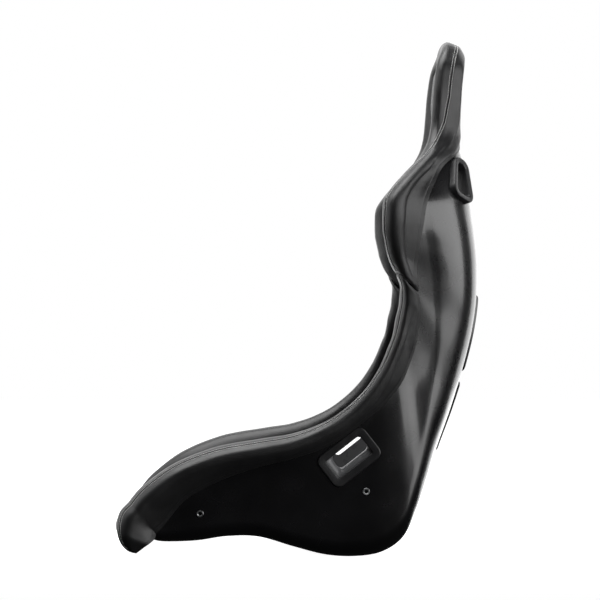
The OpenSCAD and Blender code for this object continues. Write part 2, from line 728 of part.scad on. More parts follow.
module seat_crotch_cut() {
    recess = lining_far + trim_rise + 3 * gap;
    on_surface(1, crotch_u, 0) {
        translate([0, 0, -2 * seat_pad]) linear_extrude(3 * seat_pad) crotch_hole(collar + gap);
        translate([0, 0, -recess]) linear_extrude(recess) rounded(crotch_l + 2 * crotch_rim + 2 * gap,
            crotch_h + 2 * crotch_rim + 2 * gap, crotch_bezel_r);
    }
}

module seat_cushion_cover() {
    color("#222326") difference() {
        slab(seat_cushion_grid(0, false), seat_cushion_grid(cover_t, false));
        seat_crotch_cut();
    }
}

module seat_cushion_foam() {
    color("#707074") difference() {
        slab(seat_cushion_grid(core, false), seat_cushion_grid(core, true));
        seat_crotch_cut();
    }
}

// Hook-and-loop strips under each cushion
hook_w = 38;
function hook_grid(u0, u1, x, d) = [for (u = [u0:0.5:u1])
    [for (e = [-0.5, 0.5]) inside(u, floor_share * (x + e * hook_w) / floor_run(u), d)]];

module hook_strips(u0, u1, x) {
    color("#0f0f10") for (side = [-1, 1])
        slab(hook_grid(u0, u1, side * x, lining_far + gap / 2 + hook_t),
             hook_grid(u0, u1, side * x, lining_far + gap / 2));
}

module seat_hook_strips() { hook_strips(5.5, 10.5, 92); }
module back_hook_strips() { hook_strips(16.5, 20.5, 60); }
module head_hook_strips() { hook_strips(27.8, 29.8, 56); }

shell();
upper_back_strip();
lower_back_strip();
mount_strip(1);  // mount_strip_left
mount_strip(-1);  // mount_strip_right
mount_inserts(1);  // mount_inserts_left
mount_inserts(-1);  // mount_inserts_right
lap_slot_bezel(1);  // lap_slot_bezel_left
lap_slot_bezel(-1);  // lap_slot_bezel_right
lap_slot_inner_trim(1);  // lap_slot_inner_trim_left
lap_slot_inner_trim(-1);  // lap_slot_inner_trim_right
shoulder_slot_bezel(1);  // shoulder_slot_bezel_left
shoulder_slot_bezel(-1);  // shoulder_slot_bezel_right
shoulder_slot_inner_trim(1);  // shoulder_slot_inner_trim_left
shoulder_slot_inner_trim(-1);  // shoulder_slot_inner_trim_right
crotch_slot_bezel();
crotch_slot_inner_trim();
lining();
thigh_bolster_cover(1);  // thigh_bolster_cover_left
thigh_bolster_cover(-1);  // thigh_bolster_cover_right
thigh_bolster_foam(1);  // thigh_bolster_foam_left
thigh_bolster_foam(-1);  // thigh_bolster_foam_right
shoulder_bolster_cover(1);  // shoulder_bolster_cover_left
shoulder_bolster_cover(-1);  // shoulder_bolster_cover_right
shoulder_bolster_foam(1);  // shoulder_bolster_foam_left
shoulder_bolster_foam(-1);  // shoulder_bolster_foam_right
head_cover();
head_foam();
seat_cushion_cover();
seat_cushion_foam();
back_cushion_cover();
back_cushion_foam();
head_cushion_cover();
head_cushion_foam();
seat_hook_strips();
back_hook_strips();
head_hook_strips();
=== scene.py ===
import math

import bmesh
import bpy
import numpy as np
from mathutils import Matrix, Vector, noise


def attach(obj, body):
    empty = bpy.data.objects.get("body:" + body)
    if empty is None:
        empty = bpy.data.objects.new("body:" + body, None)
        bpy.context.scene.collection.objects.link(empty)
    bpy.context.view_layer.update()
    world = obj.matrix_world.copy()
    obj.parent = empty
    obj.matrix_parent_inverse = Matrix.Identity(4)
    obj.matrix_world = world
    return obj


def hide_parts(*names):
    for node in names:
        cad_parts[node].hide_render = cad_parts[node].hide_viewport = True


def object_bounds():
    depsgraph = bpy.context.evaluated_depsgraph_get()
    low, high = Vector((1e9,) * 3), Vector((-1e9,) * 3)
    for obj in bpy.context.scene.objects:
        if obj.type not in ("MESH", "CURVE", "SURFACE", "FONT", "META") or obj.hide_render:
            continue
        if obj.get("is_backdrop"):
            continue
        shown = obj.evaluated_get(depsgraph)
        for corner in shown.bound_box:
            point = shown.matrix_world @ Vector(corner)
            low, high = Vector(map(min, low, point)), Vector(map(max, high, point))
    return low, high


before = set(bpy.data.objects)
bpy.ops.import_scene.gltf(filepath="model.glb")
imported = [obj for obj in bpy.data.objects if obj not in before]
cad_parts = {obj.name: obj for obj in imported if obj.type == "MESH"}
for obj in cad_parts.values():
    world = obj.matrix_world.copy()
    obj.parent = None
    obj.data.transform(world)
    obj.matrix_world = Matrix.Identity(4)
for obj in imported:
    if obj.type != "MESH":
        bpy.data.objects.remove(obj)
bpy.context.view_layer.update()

# --- Moulded bucket ---------------------------------------------------------------------------
# One fibreglass moulding in black gel coat, laid up in a female mould. Its floor, side walls,
# back and head are one skin, drawn here as a row of U-shaped sections from the pan's lip to the
# top of the head, with each harness slot and side-mount hole cut through the wall.
MM = 0.001
# Each section: knee x, y, z, rim x, y, z, corner radius, flat share of the wall, aim in degrees,
# how far the outside of the rim cover reaches down. Millimetres.
SECTIONS = np.array([
    [0, -288, 42, 0, -304, 42, 12, 0.2, 0, 14],
    [80, -285, 40, 84, -301, 40, 12, 0.2, 5, 14],
    [150, -275, 36, 158, -292, 38, 13, 0.2, 14, 16],
    [193, -260, 31, 208, -286, 48, 18, 0.3, 45, 30],
    [205, -238, 27, 222, -279, 72, 24, 0.4, 90, 50],
    [205, -209, 26, 223, -252, 108, 26, 0.45, 90, 58],
    [205, -169, 28, 222, -202, 145, 28, 0.58, 90, 46],
    [205, -119, 35, 221, -134, 172, 28, 0.66, 90, 38],
    [205, -64, 34, 219, -62, 186, 28, 0.7, 90, 28],
    [205, -4, 17, 217, 1, 199, 28, 0.74, 90, 25],
    [205, 51, 3, 214, 62, 227, 30, 0.76, 90, 31],
    [205, 104, 0, 213, 112, 268, 32, 0.8, 90, 38],
    [205, 151, 8, 214, 148, 317, 36, 0.8, 90, 56],
    [203, 188, 34, 213, 170, 366, 42, 0.75, 90, 76],
    [200, 210, 80, 213, 178, 392, 50, 0.65, 90, 82],
    [196, 228, 130, 213, 183, 413, 60, 0.55, 90, 80],
    [193, 248, 190, 214, 187, 432, 70, 0.45, 90, 74],
    [190, 272, 255, 216, 189, 449, 78, 0.35, 90, 60],
    [190, 294, 325, 220, 189, 467, 84, 0.3, 90, 46],
    [192, 310, 390, 227, 183, 490, 88, 0.3, 90, 38],
    [198, 318, 450, 238, 172, 523, 90, 0.3, 90, 44],
    [206, 318, 510, 250, 167, 558, 92, 0.3, 90, 54],
    [212, 313, 560, 256, 168, 592, 92, 0.3, 90, 60],
    [210, 307, 603, 252, 172, 622, 90, 0.3, 90, 63],
    [192, 304, 640, 232, 190, 650, 80, 0.3, 90, 57],
    [166, 298, 680, 198, 218, 682, 62, 0.3, 90, 40],
    [143, 287, 714, 163, 243, 712, 36, 0.3, 90, 62],
    [133, 286, 748, 142, 256, 745, 20, 0.3, 90, 76],
    [131, 287, 785, 137, 260, 785, 16, 0.3, 90, 72],
    [129, 289, 822, 134, 263, 824, 16, 0.3, 88, 70],
    [120, 292, 858, 124, 269, 864, 14, 0.3, 65, 66],
    [88, 294, 882, 92, 277, 889, 12, 0.3, 28, 62],
    [42, 295, 891, 44, 279, 899, 11, 0.3, 6, 60],
    [0, 295, 892, 0, 279, 900, 11, 0.3, 0, 60],
])
LAST = len(SECTIONS) - 1
WALL = 5.0
GAP = 0.3
FLOOR_SHARE, CORNER_SHARE, ARC_WEIGHT = 0.4, 0.6, 0.7071
MIRROR_X = np.array([-1.0, 1.0, 1.0])


def ramp(x, a, b):
    t = np.clip((x - a) / (b - a), 0, 1)
    return t * t * (3 - 2 * t)


def unit(v):
    return v / np.maximum(np.linalg.norm(v, axis=-1, keepdims=True), 1e-12)


def section(u):
    """The section values at u, on a smooth curve through the table's rows."""
    u = np.clip(np.asarray(u, float), 0, LAST)
    i = np.minimum(np.floor(u).astype(int), LAST - 1)
    t = (u - i)[..., None]

    def row(k):
        found = SECTIONS[np.where(k < 0, -k, np.where(k > LAST, 2 * LAST - k, k))].copy()
        beyond = (k < 0) | (k > LAST)
        found[..., 0] *= np.where(beyond, -1, 1)
        found[..., 3] *= np.where(beyond, -1, 1)
        return found

    a, b, c, d = row(i - 1), row(i), row(i + 1), row(i + 2)
    return 0.5 * (2 * b + (c - a) * t + (2 * a - 5 * b + 4 * c - d) * t**2
                  + (3 * b - a - 3 * c + d) * t**3)


def wall_point(s, t):
    """A point of the side wall, t from knee to rim: upright for its flat share, then flaring."""
    flare = np.clip((t - s[..., 7]) / (1 - s[..., 7]), 0, None) ** 1.5
    mixed = s[..., 0:3] + (s[..., 3:6] - s[..., 0:3]) * t[..., None]
    mixed[..., 0] = s[..., 0] + (s[..., 3] - s[..., 0]) * flare
    return mixed


def outside(u, v):
    """A point of the bucket's outer face: u along it, v from the middle (0) to the rim (1)."""
    u, v = np.broadcast_arrays(np.asarray(u, float), np.asarray(v, float))
    s = section(u)
    run = np.hypot(s[..., 4] - s[..., 1], s[..., 5] - s[..., 2])
    cut = np.minimum(s[..., 6], 0.8 * run)
    aim = np.radians(s[..., 8])
    front = (u < LAST / 2).astype(float)
    way = unit(np.stack([-np.sin(aim), np.cos(aim) * front, -np.cos(aim) * (1 - front)], -1))
    knee = s[..., 0:3]
    low = knee + cut[..., None] * way
    high = wall_point(s, cut / run)
    floor = low * np.stack([v / FLOOR_SHARE, np.ones_like(v), np.ones_like(v)], -1)
    t = np.clip((v - FLOOR_SHARE) / (CORNER_SHARE - FLOOR_SHARE), 0, 1)[..., None]
    a, b, c = (1 - t) ** 2, 2 * ARC_WEIGHT * t * (1 - t), t**2
    corner = (a * low + b * knee + c * high) / (a + b + c)
    rise = np.clip((v - CORNER_SHARE) / (1 - CORNER_SHARE), 0, 1)
    wall = wall_point(s, cut / run + (1 - cut / run) * rise)
    v = v[..., None]
    return np.where(v <= FLOOR_SHARE, floor, np.where(v >= CORNER_SHARE, wall, corner))


def inward(u, v):
    """The direction from the outer face towards the sitter."""
    e = 0.02
    u, v = np.broadcast_arrays(np.asarray(u, float), np.asarray(v, float))
    v = np.maximum(v, e)
    over = outside(u, np.minimum(v + e / 2, 1)) - outside(u, v - e / 2)
    along = outside(u + e, v) - outside(u - e, v)
    along = np.where((u <= 0)[..., None], [1.0, 0, 0], along)
    along = np.where((u >= LAST)[..., None], [-1.0, 0, 0], along)
    return unit(np.cross(over, along))


def inside(u, v, d):
    """A point at depth d under the outer face, on either half (v below 0 is the right half)."""
    u, v = np.broadcast_arrays(np.asarray(u, float), np.asarray(v, float))
    ends = (u <= 0) | (u >= LAST)
    w = np.where(ends, np.maximum(abs(v), FLOOR_SHARE + 0.02), abs(v))
    p = outside(u, w) + np.asarray(d, float)[..., None] * inward(u, w)
    return np.where((v < 0)[..., None], p * MIRROR_X, p)


def make_object(name, vertices, faces, smooth_angle=40):
    """A mesh object from points in millimetres, its place in its mesh and its faces outwards."""
    mesh = bpy.data.meshes.new(name)
    mesh.from_pydata((np.asarray(vertices) * MM).tolist(), [], faces)
    bm = bmesh.new()
    bm.from_mesh(mesh)
    bmesh.ops.remove_doubles(bm, verts=bm.verts, dist=1e-6)
    bmesh.ops.dissolve_degenerate(bm, edges=bm.edges, dist=1e-6)
    bmesh.ops.recalc_face_normals(bm, faces=bm.faces)
    bm.to_mesh(mesh)
    bm.free()
    mesh.polygons.foreach_set("use_smooth", [True] * len(mesh.polygons))
    mesh.set_sharp_from_angle(angle=math.radians(smooth_angle))
    made = bpy.data.objects.new(name, mesh)
    bpy.context.scene.collection.objects.link(made)
    return made


def sheet_faces(rows, cols):
    """Faces of a closed slab between two grids of rows x cols points, the outer grid first."""
    k = np.arange(rows * cols).reshape(rows, cols)
    n = rows * cols
    a, b, c, d = k[:-1, :-1], k[:-1, 1:], k[1:, 1:], k[1:, :-1]
    quads = [np.stack([a, b, c, d], -1).reshape(-1, 4),
             np.stack([a, d, c, b], -1).reshape(-1, 4) + n]
    edge = np.concatenate([k[0, :], k[1:, -1], k[-1, -2::-1], k[-2:0:-1, 0]])
    after = np.roll(edge, -1)
    quads.append(np.stack([edge, edge + n, after + n, after], -1))
    return np.concatenate(quads).tolist()


def slab(name, outer, inner, smooth_angle=40):
    rows, cols = outer.shape[:2]
    points = np.concatenate([outer.reshape(-1, 3), inner.reshape(-1, 3)])
    return make_object(name, points, sheet_faces(rows, cols), smooth_angle)


def apply_modifiers(piece):
    """Turns a piece's modifiers into its mesh."""
    graph = bpy.context.evaluated_depsgraph_get()
    mesh = bpy.data.meshes.new_from_object(piece.evaluated_get(graph))
    piece.modifiers.clear()
    piece.data = mesh


def new_material(name, base, roughness, **sockets):
    """A material on the Principled shader: returns it with its tree and its shader node."""
    material = bpy.data.materials.new(name)
    material.use_nodes = True
    material.diffuse_color = (*base, 1)
    tree = material.node_tree
    shader = tree.nodes["Principled BSDF"]
    shader.inputs["Base Color"].default_value = (*base, 1)
    shader.inputs["Roughness"].default_value = roughness
    for socket, value in sockets.items():
        shader.inputs[socket.replace("_", " ")].default_value = value
    return material, tree, shader


def add_node(tree, kind, links=None, **values):
    """A node with its input sockets set by name and linked from (node, output) pairs."""
    made = tree.nodes.new(kind)
    for key, value in values.items():
        if hasattr(made, key):
            setattr(made, key, value)
        else:
            made.inputs[key.replace("_", " ")].default_value = value
    for socket, (source, output) in (links or {}).items():
        tree.links.new(source.outputs[output], made.inputs[socket])
    return made


def own_coordinates(tree):
    return add_node(tree, "ShaderNodeTexCoord")


def noise_of(tree, coords, scale, detail=3.0, roughness=0.5):
    return add_node(tree, "ShaderNodeTexNoise", {"Vector": (coords, "Object")},
                    Scale=scale, Detail=detail, Roughness=roughness)


def ramp_of(tree, source, output, low, high, at=(0.3, 0.7)):
    """Maps a value from one range to another through a Map Range node, for a socket that takes a
    number.
    """
    made = add_node(tree, "ShaderNodeMapRange", {"Value": (source, output)})
    for socket, value in zip(("From Min", "From Max", "To Min", "To Max"), (*at, low, high)):
        made.inputs[socket].default_value = value
    return made


def colour_mix(tree, factor, output, low, high):
    made = add_node(tree, "ShaderNodeMix", data_type="RGBA")
    tree.links.new(factor.outputs[output], made.inputs[0])
    made.inputs[6].default_value = (*low, 1)
    made.inputs[7].default_value = (*high, 1)
    return made


def add_bump(tree, shader, height, output, distance, strength=1.0, under=None):
    links = {"Height": (height, output)}
    if under:
        links["Normal"] = (under, "Normal")
    made = add_node(tree, "ShaderNodeBump", links, Strength=strength, Distance=distance)
    tree.links.new(made.outputs["Normal"], shader.inputs["Normal"])
    return made


def gel_coat_material():
    """Black gel coat: glossy, with faint print-through of the glass cloth, haze and fine scuffs."""
    m, tree, shader = new_material("gel_coat", (0.0028, 0.0028, 0.0032), 0.26,
                                   Coat_Weight=0.4, Coat_Roughness=0.1, Specular_IOR_Level=0.7)
    coords = own_coordinates(tree)
    haze = noise_of(tree, coords, 14.0, 4.0)
    rough = ramp_of(tree, haze, "Fac", 0.23, 0.3)
    tree.links.new(rough.outputs[0], shader.inputs["Roughness"])
    tint = colour_mix(tree, haze, "Fac", (0.0028, 0.0028, 0.0032), (0.0052, 0.0052, 0.006))
    tree.links.new(tint.outputs[2], shader.inputs["Base Color"])
    peel = noise_of(tree, coords, 260.0, 2.0)
    first = add_bump(tree, shader, peel, "Fac", 0.00003, 0.5)
    wave = noise_of(tree, coords, 22.0, 1.0)
    add_bump(tree, shader, wave, "Fac", 0.00025, 0.4, first)
    return m


gel_coat = gel_coat_material()
ROW_STEPS = 8
COLUMNS = np.concatenate([np.linspace(0, FLOOR_SHARE, 9)[:-1],
                          np.linspace(FLOOR_SHARE, CORNER_SHARE, 13)[:-1],
                          np.linspace(CORNER_SHARE, 1, 13)])
ALL_COLUMNS = np.concatenate([-COLUMNS[:0:-1], COLUMNS])


def bucket(name, d_out, d_in):
    """The closed skin of the bucket between two depths. Its end rows fold on to themselves."""
    us = np.linspace(0, LAST, LAST * ROW_STEPS + 1)
    grids = [inside(us[:, None], ALL_COLUMNS[None, :], np.full((1, 1), d)) for d in (d_out, d_in)]
    return slab(name, *grids, smooth_angle=35)


def frame_at(u, v):
    """Places a drawing on the outer face at (u, v): X across it, Y up the sections, Z outwards."""
    p = outside(u, v)
    z = -inward(u, v)
    along = outside(u + 0.02, v) - outside(u - 0.02, v)
    y = unit(along - (along @ z) * z)
    x = np.cross(y, z)
    return np.column_stack([x, y, z]), p


def frame_on_side(y, z, tilt):
    """Places a drawing on the left wall: X along the wall, Y up it, Z outwards."""
    t = math.radians(tilt)
    across = np.array([0, math.cos(t), math.sin(t)])
    up = np.array([0, -math.sin(t), math.cos(t)])
    return np.column_stack([across, up, [1.0, 0, 0]]), np.array([HIP_X, y, z])


def rounded_outline(length, height, radius, steps=8):
    """Corners of a rounded rectangle about the origin, anticlockwise."""
    points = []
    for k, (sx, sy) in enumerate(((1, 1), (-1, 1), (-1, -1), (1, -1))):
        for a in np.linspace(0, math.pi / 2, steps + 1) + k * math.pi / 2:
            points.append((sx * (length / 2 - radius) + radius * math.cos(a),
                           sy * (height / 2 - radius) + radius * math.sin(a)))
    return np.array(points)


def place(points, where, side=1):
    turn, origin = where
    placed = np.asarray(points) @ turn.T + origin
    return placed * MIRROR_X if side < 0 else placed


def loft(name, outlines, heights, where, side=1, closed=False, smooth_angle=35):
    """Skins a stack of outlines of equal length. A closed stack is a ring with a hole through it."""
    n = len(outlines[0])
    points = np.concatenate([np.column_stack([o, np.full(n, h)]) for o, h in zip(outlines, heights)])
    layers = len(outlines)
    faces = []
    for i in range(layers if closed else layers - 1):
        a, b = i * n, (i + 1) % layers * n
        faces += [[a + k, a + (k + 1) % n, b + (k + 1) % n, b + k] for k in range(n)]
    if not closed:
        faces += [list(range(n))[::-1], [(layers - 1) * n + k for k in range(n)]]
    return make_object(name, place(points, where, side), faces, smooth_angle)


HIP_X = 205.0
MOUNT_PITCH, MOUNT_TILT, MOUNT_AHEAD, MOUNT_Z = 290.0, 7.6, 166.0, 76.0
INSERT_R = 6.0
LAP_Y, LAP_Z, LAP_TILT = 92.0, 174.0, 38.0
LAP_L, LAP_H, LAP_R, LAP_RIM = 74.0, 38.0, 3.0, 13.5
SHOULDER_U, SHOULDER_V = 24.35, 0.485
SHOULDER_L, SHOULDER_H, SHOULDER_R, SHOULDER_RIM, SHOULDER_TAPER = 60.0, 36.0, 8.0, 11.0, 0.35
CROTCH_U, CROTCH_L, CROTCH_H, CROTCH_R, CROTCH_RIM = 7.3, 60.0, 28.0, 8.0, 9.0
COLLAR = 2.5
MOUNT_ENDS = [(-MOUNT_AHEAD, MOUNT_Z),
              (-MOUNT_AHEAD + MOUNT_PITCH * math.cos(math.radians(MOUNT_TILT)),
               MOUNT_Z + MOUNT_PITCH * math.sin(math.radians(MOUNT_TILT)))]


def shoulder_outline(grow, steps=10):
    """The belt hole: a wide round-cornered foot that narrows to the top."""
    r = SHOULDER_R + grow
    x, y = SHOULDER_H / 2 - SHOULDER_R, SHOULDER_L / 2 - SHOULDER_R
    lean = math.atan2(x * (1 - SHOULDER_TAPER), 2 * y)
    corners = [(x, -y, -math.pi / 2, lean), (x * SHOULDER_TAPER, y, lean, math.pi / 2),
               (-x * SHOULDER_TAPER, y, math.pi / 2, math.pi - lean),
               (-x, -y, math.pi - lean, 1.5 * math.pi)]
    return np.array([(cx + r * math.cos(a), cy + r * math.sin(a))
                     for cx, cy, a0, a1 in corners for a in np.linspace(a0, a1, steps)])


def cut_holes(piece, cutters):
    """Cuts the closed cutters out of a piece and removes them."""
    for cutter in cutters:
        cut = piece.modifiers.new("cut", "BOOLEAN")
        cut.operation = "DIFFERENCE"
        cut.solver = "EXACT"
        cut.object = cutter
    apply_modifiers(piece)
    for cutter in cutters:
        bpy.data.objects.remove(cutter)


def slot_cutters(lap_grow, shoulder_grow, crotch_grow):
    """Closed prisms through the walls at every harness slot."""
    made = []
    for side in (1, -1):
        hole = rounded_outline(LAP_L + 2 * lap_grow, LAP_H + 2 * lap_grow, LAP_R + lap_grow)
        made.append(loft("lap_cut", [hole, hole], [-30, 20],
                         frame_on_side(LAP_Y, LAP_Z, LAP_TILT), side))
        hole = shoulder_outline(shoulder_grow)
        made.append(loft("shoulder_cut", [hole, hole], [-40, 20],
                         frame_at(SHOULDER_U, SHOULDER_V), side))
    hole = rounded_outline(CROTCH_L + 2 * crotch_grow, CROTCH_H + 2 * crotch_grow,
                           CROTCH_R + crotch_grow)
    made.append(loft("crotch_cut", [hole, hole], [-30, 20], frame_at(CROTCH_U, 0)))
    return made


def circle_outline(radius, steps=32):
    a = np.arange(steps) * 2 * math.pi / steps
    return np.column_stack([np.cos(a), np.sin(a)]) * radius


moulding = bucket("moulded_bucket", 0, WALL)
mount_cutters = [loft("mount_cut", [circle_outline(INSERT_R + GAP)] * 2, [-20, 20],
                      frame_on_side(y, z, 0), side)
                 for side in (1, -1) for y, z in MOUNT_ENDS]
cut_holes(moulding, slot_cutters(COLLAR + GAP, SHOULDER_RIM + GAP, COLLAR + GAP) + mount_cutters)
moulding.data.polygons.foreach_set("use_smooth", [True] * len(moulding.data.polygons))
moulding.data.set_sharp_from_angle(angle=math.radians(35))
moulding.data.materials.clear()
moulding.data.materials.append(gel_coat)
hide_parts("shell")
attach(moulding, "root")

# --- Back strips ------------------------------------------------------------------------------
# Two stiffening strips moulded in the same gel-coated fibreglass and bonded across the back,
# one at the belt line and one below it, with rounded edges and shallow feathered sides.
RIB_W, RIB_RISE, RIB_TAPER = 180.0, 5.5, 8.0
STRIP_ROWS = {"upper_back_strip": (17.9, 20.1), "lower_back_strip": (15.8, 17.7)}


def floor_run(u):
    return outside(u, FLOOR_SHARE)[..., 0]


for name, (first, final) in STRIP_ROWS.items():
    t = np.linspace(0, 1, 33)
    us = (first + (final - first) * t)[:, None]
    grids = []
    for depth, span in ((-GAP, RIB_W), (-RIB_RISE, RIB_W - RIB_TAPER)):
        shares = np.linspace(-1, 1, 37)[None, :]
        fall = np.clip(np.minimum(t, 1 - t) / 0.05, 0, 1)[:, None] ** 0.5
        deep = depth if depth == -GAP else -GAP - (RIB_RISE - GAP) * fall
        v = FLOOR_SHARE * shares * span / 2 / floor_run(us)
        grids.append(inside(us, v, np.broadcast_to(deep, v.shape)))
    strip = slab(name + "_moulding", *grids, smooth_angle=50)
    soft_edge = strip.modifiers.new("edge", "BEVEL")
    soft_edge.width = 0.9 * MM
    soft_edge.segments = 3
    soft_edge.limit_method = "ANGLE"
    apply_modifiers(strip)
    strip.data.materials.append(gel_coat)
    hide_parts(name)
    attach(strip, "root")

# --- Side-mount strips and inserts ------------------------------------------------------------
# A steel strip behind each side wall carries two flanged zinc-plated inserts with an M8 thread,
# pressed through the moulding from inside. Brackets bolt up to them on either side.
THREAD_R, FLANGE_T, STRIP_T = 3.4, 1.0, 2.5


def brushed_steel_material(name, base, rough, scale):
    """Rolled or plated steel: fine drawn lines, cloudy zinc bloom and a little grime."""
    m, tree, shader = new_material(name, base, rough, Metallic=1.0)
    coords = own_coordinates(tree)
    stretch = add_node(tree, "ShaderNodeMapping", {"Vector": (coords, "Object")})
    stretch.inputs["Scale"].default_value = (1.0, 0.12, 1.0)
    lines = add_node(tree, "ShaderNodeTexNoise", {"Vector": (stretch, "Vector")},
                     Scale=scale, Detail=5.0)
    bloom = noise_of(tree, coords, scale / 8, 4.0)
    rough_map = ramp_of(tree, lines, "Fac", rough - 0.08, rough + 0.14)
    tree.links.new(rough_map.outputs[0], shader.inputs["Roughness"])
    darker = tuple(0.62 * c for c in base)
    tint = colour_mix(tree, bloom, "Fac", darker, base)
    tree.links.new(tint.outputs[2], shader.inputs["Base Color"])
    add_bump(tree, shader, lines, "Fac", 0.00003, 0.4)
    return m


strip_steel = brushed_steel_material("strip_steel", (0.36, 0.37, 0.38), 0.42, 900.0)
zinc_plate = brushed_steel_material("zinc_plate", (0.72, 0.73, 0.74), 0.26, 1600.0)
for node in ("mount_strip_left", "mount_strip_right"):
    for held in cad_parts[node].material_slots:
        held.material = strip_steel


def turned_ring(profile, where, side, steps=48):
    """Points and faces of a ring turned from a closed (radius, height) profile."""
    outlines = [circle_outline(r, steps) for r, _ in profile]
    points = np.concatenate([np.column_stack([o, np.full(steps, h)])
                             for o, (_, h) in zip(outlines, profile)])
    layers = len(profile)
    faces = [[i * steps + k, i * steps + (k + 1) % steps,
              (i + 1) % layers * steps + (k + 1) % steps, (i + 1) % layers * steps + k]
             for i in range(layers) for k in range(steps)]
    return place(points, where, side), faces


THREAD_PITCH, THREAD_DEEP, INSERT_DEEP = 1.25, 0.5, WALL + STRIP_T + GAP
insert_profile = [(INSERT_R, -INSERT_DEEP), (INSERT_R, FLANGE_T - 0.35),
                  (INSERT_R - 0.35, FLANGE_T), (THREAD_R + 0.9, FLANGE_T)]
crest = FLANGE_T - 0.9
while crest > -INSERT_DEEP + THREAD_PITCH:
    insert_profile += [(THREAD_R, crest), (THREAD_R, crest - 0.3),
                       (THREAD_R + THREAD_DEEP, crest - 0.62), (THREAD_R, crest - 0.95)]
    crest -= THREAD_PITCH
insert_profile.append((THREAD_R, -INSERT_DEEP))
for side, hand in ((1, "left"), (-1, "right")):
    points, faces = [], []
    for y, z in MOUNT_ENDS:
        ring, ring_faces = turned_ring(insert_profile, frame_on_side(y, z, 0), side)
        faces += [[k + sum(map(len, points)) for k in f] for f in ring_faces]
        points.append(ring)
    inserts = make_object(f"threaded_inserts_{hand}", np.concatenate(points), faces, 30)
    inserts.data.materials.append(zinc_plate)
    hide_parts(f"mount_inserts_{hand}")
    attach(inserts, "root")

# --- Lining -----------------------------------------------------------------------------------
# A black needled felt bonded inside the bucket between the rolls, cut round the belt slots.
COVER_T, HOOK_T = 2.5, 1.6
LINING_NEAR = WALL + STRIP_T + 2 * GAP
LINING_FAR = LINING_NEAR + COVER_T
SHOULDER_ROW, BELT_ROW, NECK_ROW, NOTCH_ROW, WING_ROW = 21.0, 18.0, 27.0, 18.7, 26.3
ROLL_RISE, WING_RISE, ROLL_OUT, HEAD_OUT = 12.0, 18.0, 12.0, 6.0
THIGH_PAD, SHOULDER_PAD, WING_PAD, ROLL_W = 36.0, 30.0, 22.0, 30.0


def mix(a, b, t):
    return a + (b - a) * t


def hem_inside(u):
    """How far a roll reaches down the inside of the wall."""
    low = mix(mix(56, 44, ramp(u, 5, 9)), 34, ramp(u, 9, 10))
    high = mix(mix(34, 70, ramp(u, 13, SHOULDER_ROW)), 8, ramp(u, SHOULDER_ROW, WING_ROW))
    return np.where(u < 13, low, high)


def v_down(u, drop):
    """How far round the section a point lies that is so far down from the rim."""
    wall = np.linalg.norm(outside(u, 1) - outside(u, CORNER_SHARE), axis=-1)
    arc = 1.12 * np.linalg.norm(outside(u, CORNER_SHARE) - outside(u, FLOOR_SHARE), axis=-1)
    on_arc = CORNER_SHARE - (CORNER_SHARE - FLOOR_SHARE) * (drop - wall) / arc
    on_floor = FLOOR_SHARE * (1 - (drop - wall - arc) / floor_run(u))
    return np.where(drop < wall, 1 - (1 - CORNER_SHARE) * drop / wall,
                    np.where(drop < wall + arc, on_arc, on_floor))


def felt_material(name, base, scale):
    """Matted fibre: no gloss, a fine broken surface and a paler bloom of loose fibre."""
    m, tree, shader = new_material(name, base, 0.94, Sheen_Weight=0.35, Sheen_Roughness=0.5)
    coords = own_coordinates(tree)
    fibre = noise_of(tree, coords, scale, 6.0, 0.7)
    cloud = noise_of(tree, coords, scale / 30, 3.0)
    tint = colour_mix(tree, cloud, "Fac", tuple(0.7 * c for c in base), tuple(1.5 * c for c in base))
    tree.links.new(tint.outputs[2], shader.inputs["Base Color"])
    add_bump(tree, shader, fibre, "Fac", 0.0006, 0.9)
    return m


lining_felt = felt_material("lining_felt", (0.014, 0.014, 0.015), 1500.0)
lining_us = np.linspace(3.6, 32, 221)[:, None]
edge = v_down(lining_us, hem_inside(lining_us) + 4)
shares = np.linspace(0, 1, 31)[None, :]
lining_vs = edge * shares
lining_vs = np.concatenate([-lining_vs[:, :0:-1], lining_vs], axis=1)
lining = slab("lining_felt_sheet",
              inside(lining_us, lining_vs, np.full(lining_vs.shape, LINING_FAR)),
              inside(lining_us, lining_vs, np.full(lining_vs.shape, LINING_NEAR)))
cut_holes(lining, slot_cutters(COLLAR + GAP, SHOULDER_RIM + GAP, COLLAR + GAP))
lining.data.materials.clear()
lining.data.materials.append(lining_felt)
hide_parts("lining")
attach(lining, "root")

# --- Lap-belt slots ---------------------------------------------------------------------------
# Injection-moulded satin black trims on both faces of the side wall: a thick rounded plate with
# a bevelled rim outside, and inside the seat a funnel that leads the belt up into the opening.
# The funnel is coloured mid grey as a painted sheen for the light it catches.
TRIM_RISE = 3.5


def moulded_plastic_material(name, base, rough):
    """Satin moulded plastic: fine spark-eroded texture, handling sheen and small tone changes."""
    m, tree, shader = new_material(name, base, rough, Specular_IOR_Level=0.5)
    coords = own_coordinates(tree)
    grain = noise_of(tree, coords, 2600.0, 2.0, 0.6)
    worn = noise_of(tree, coords, 40.0, 4.0)
    rough_map = ramp_of(tree, worn, "Fac", rough - 0.07, rough + 0.08)
    tree.links.new(rough_map.outputs[0], shader.inputs["Roughness"])
    tint = colour_mix(tree, worn, "Fac", tuple(0.85 * c for c in base), tuple(1.2 * c for c in base))
    tree.links.new(tint.outputs[2], shader.inputs["Base Color"])
    add_bump(tree, shader, grain, "Fac", 0.00006, 0.6)
    return m


trim_black = moulded_plastic_material("trim_black", (0.012, 0.012, 0.013), 0.42)
# The funnel trims are black plastic; their mid grey colour is a painted sheen, not their own colour.
funnel_painted_sheen = moulded_plastic_material("funnel_painted_sheen", (0.13, 0.131, 0.135), 0.3)


def lap_outline(grow, radius):
    return rounded_outline(LAP_L + 2 * grow, LAP_H + 2 * grow, radius)


def finish_trim(piece, node, material):
    piece.data.materials.append(material)
    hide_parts(node)
    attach(piece, "root")


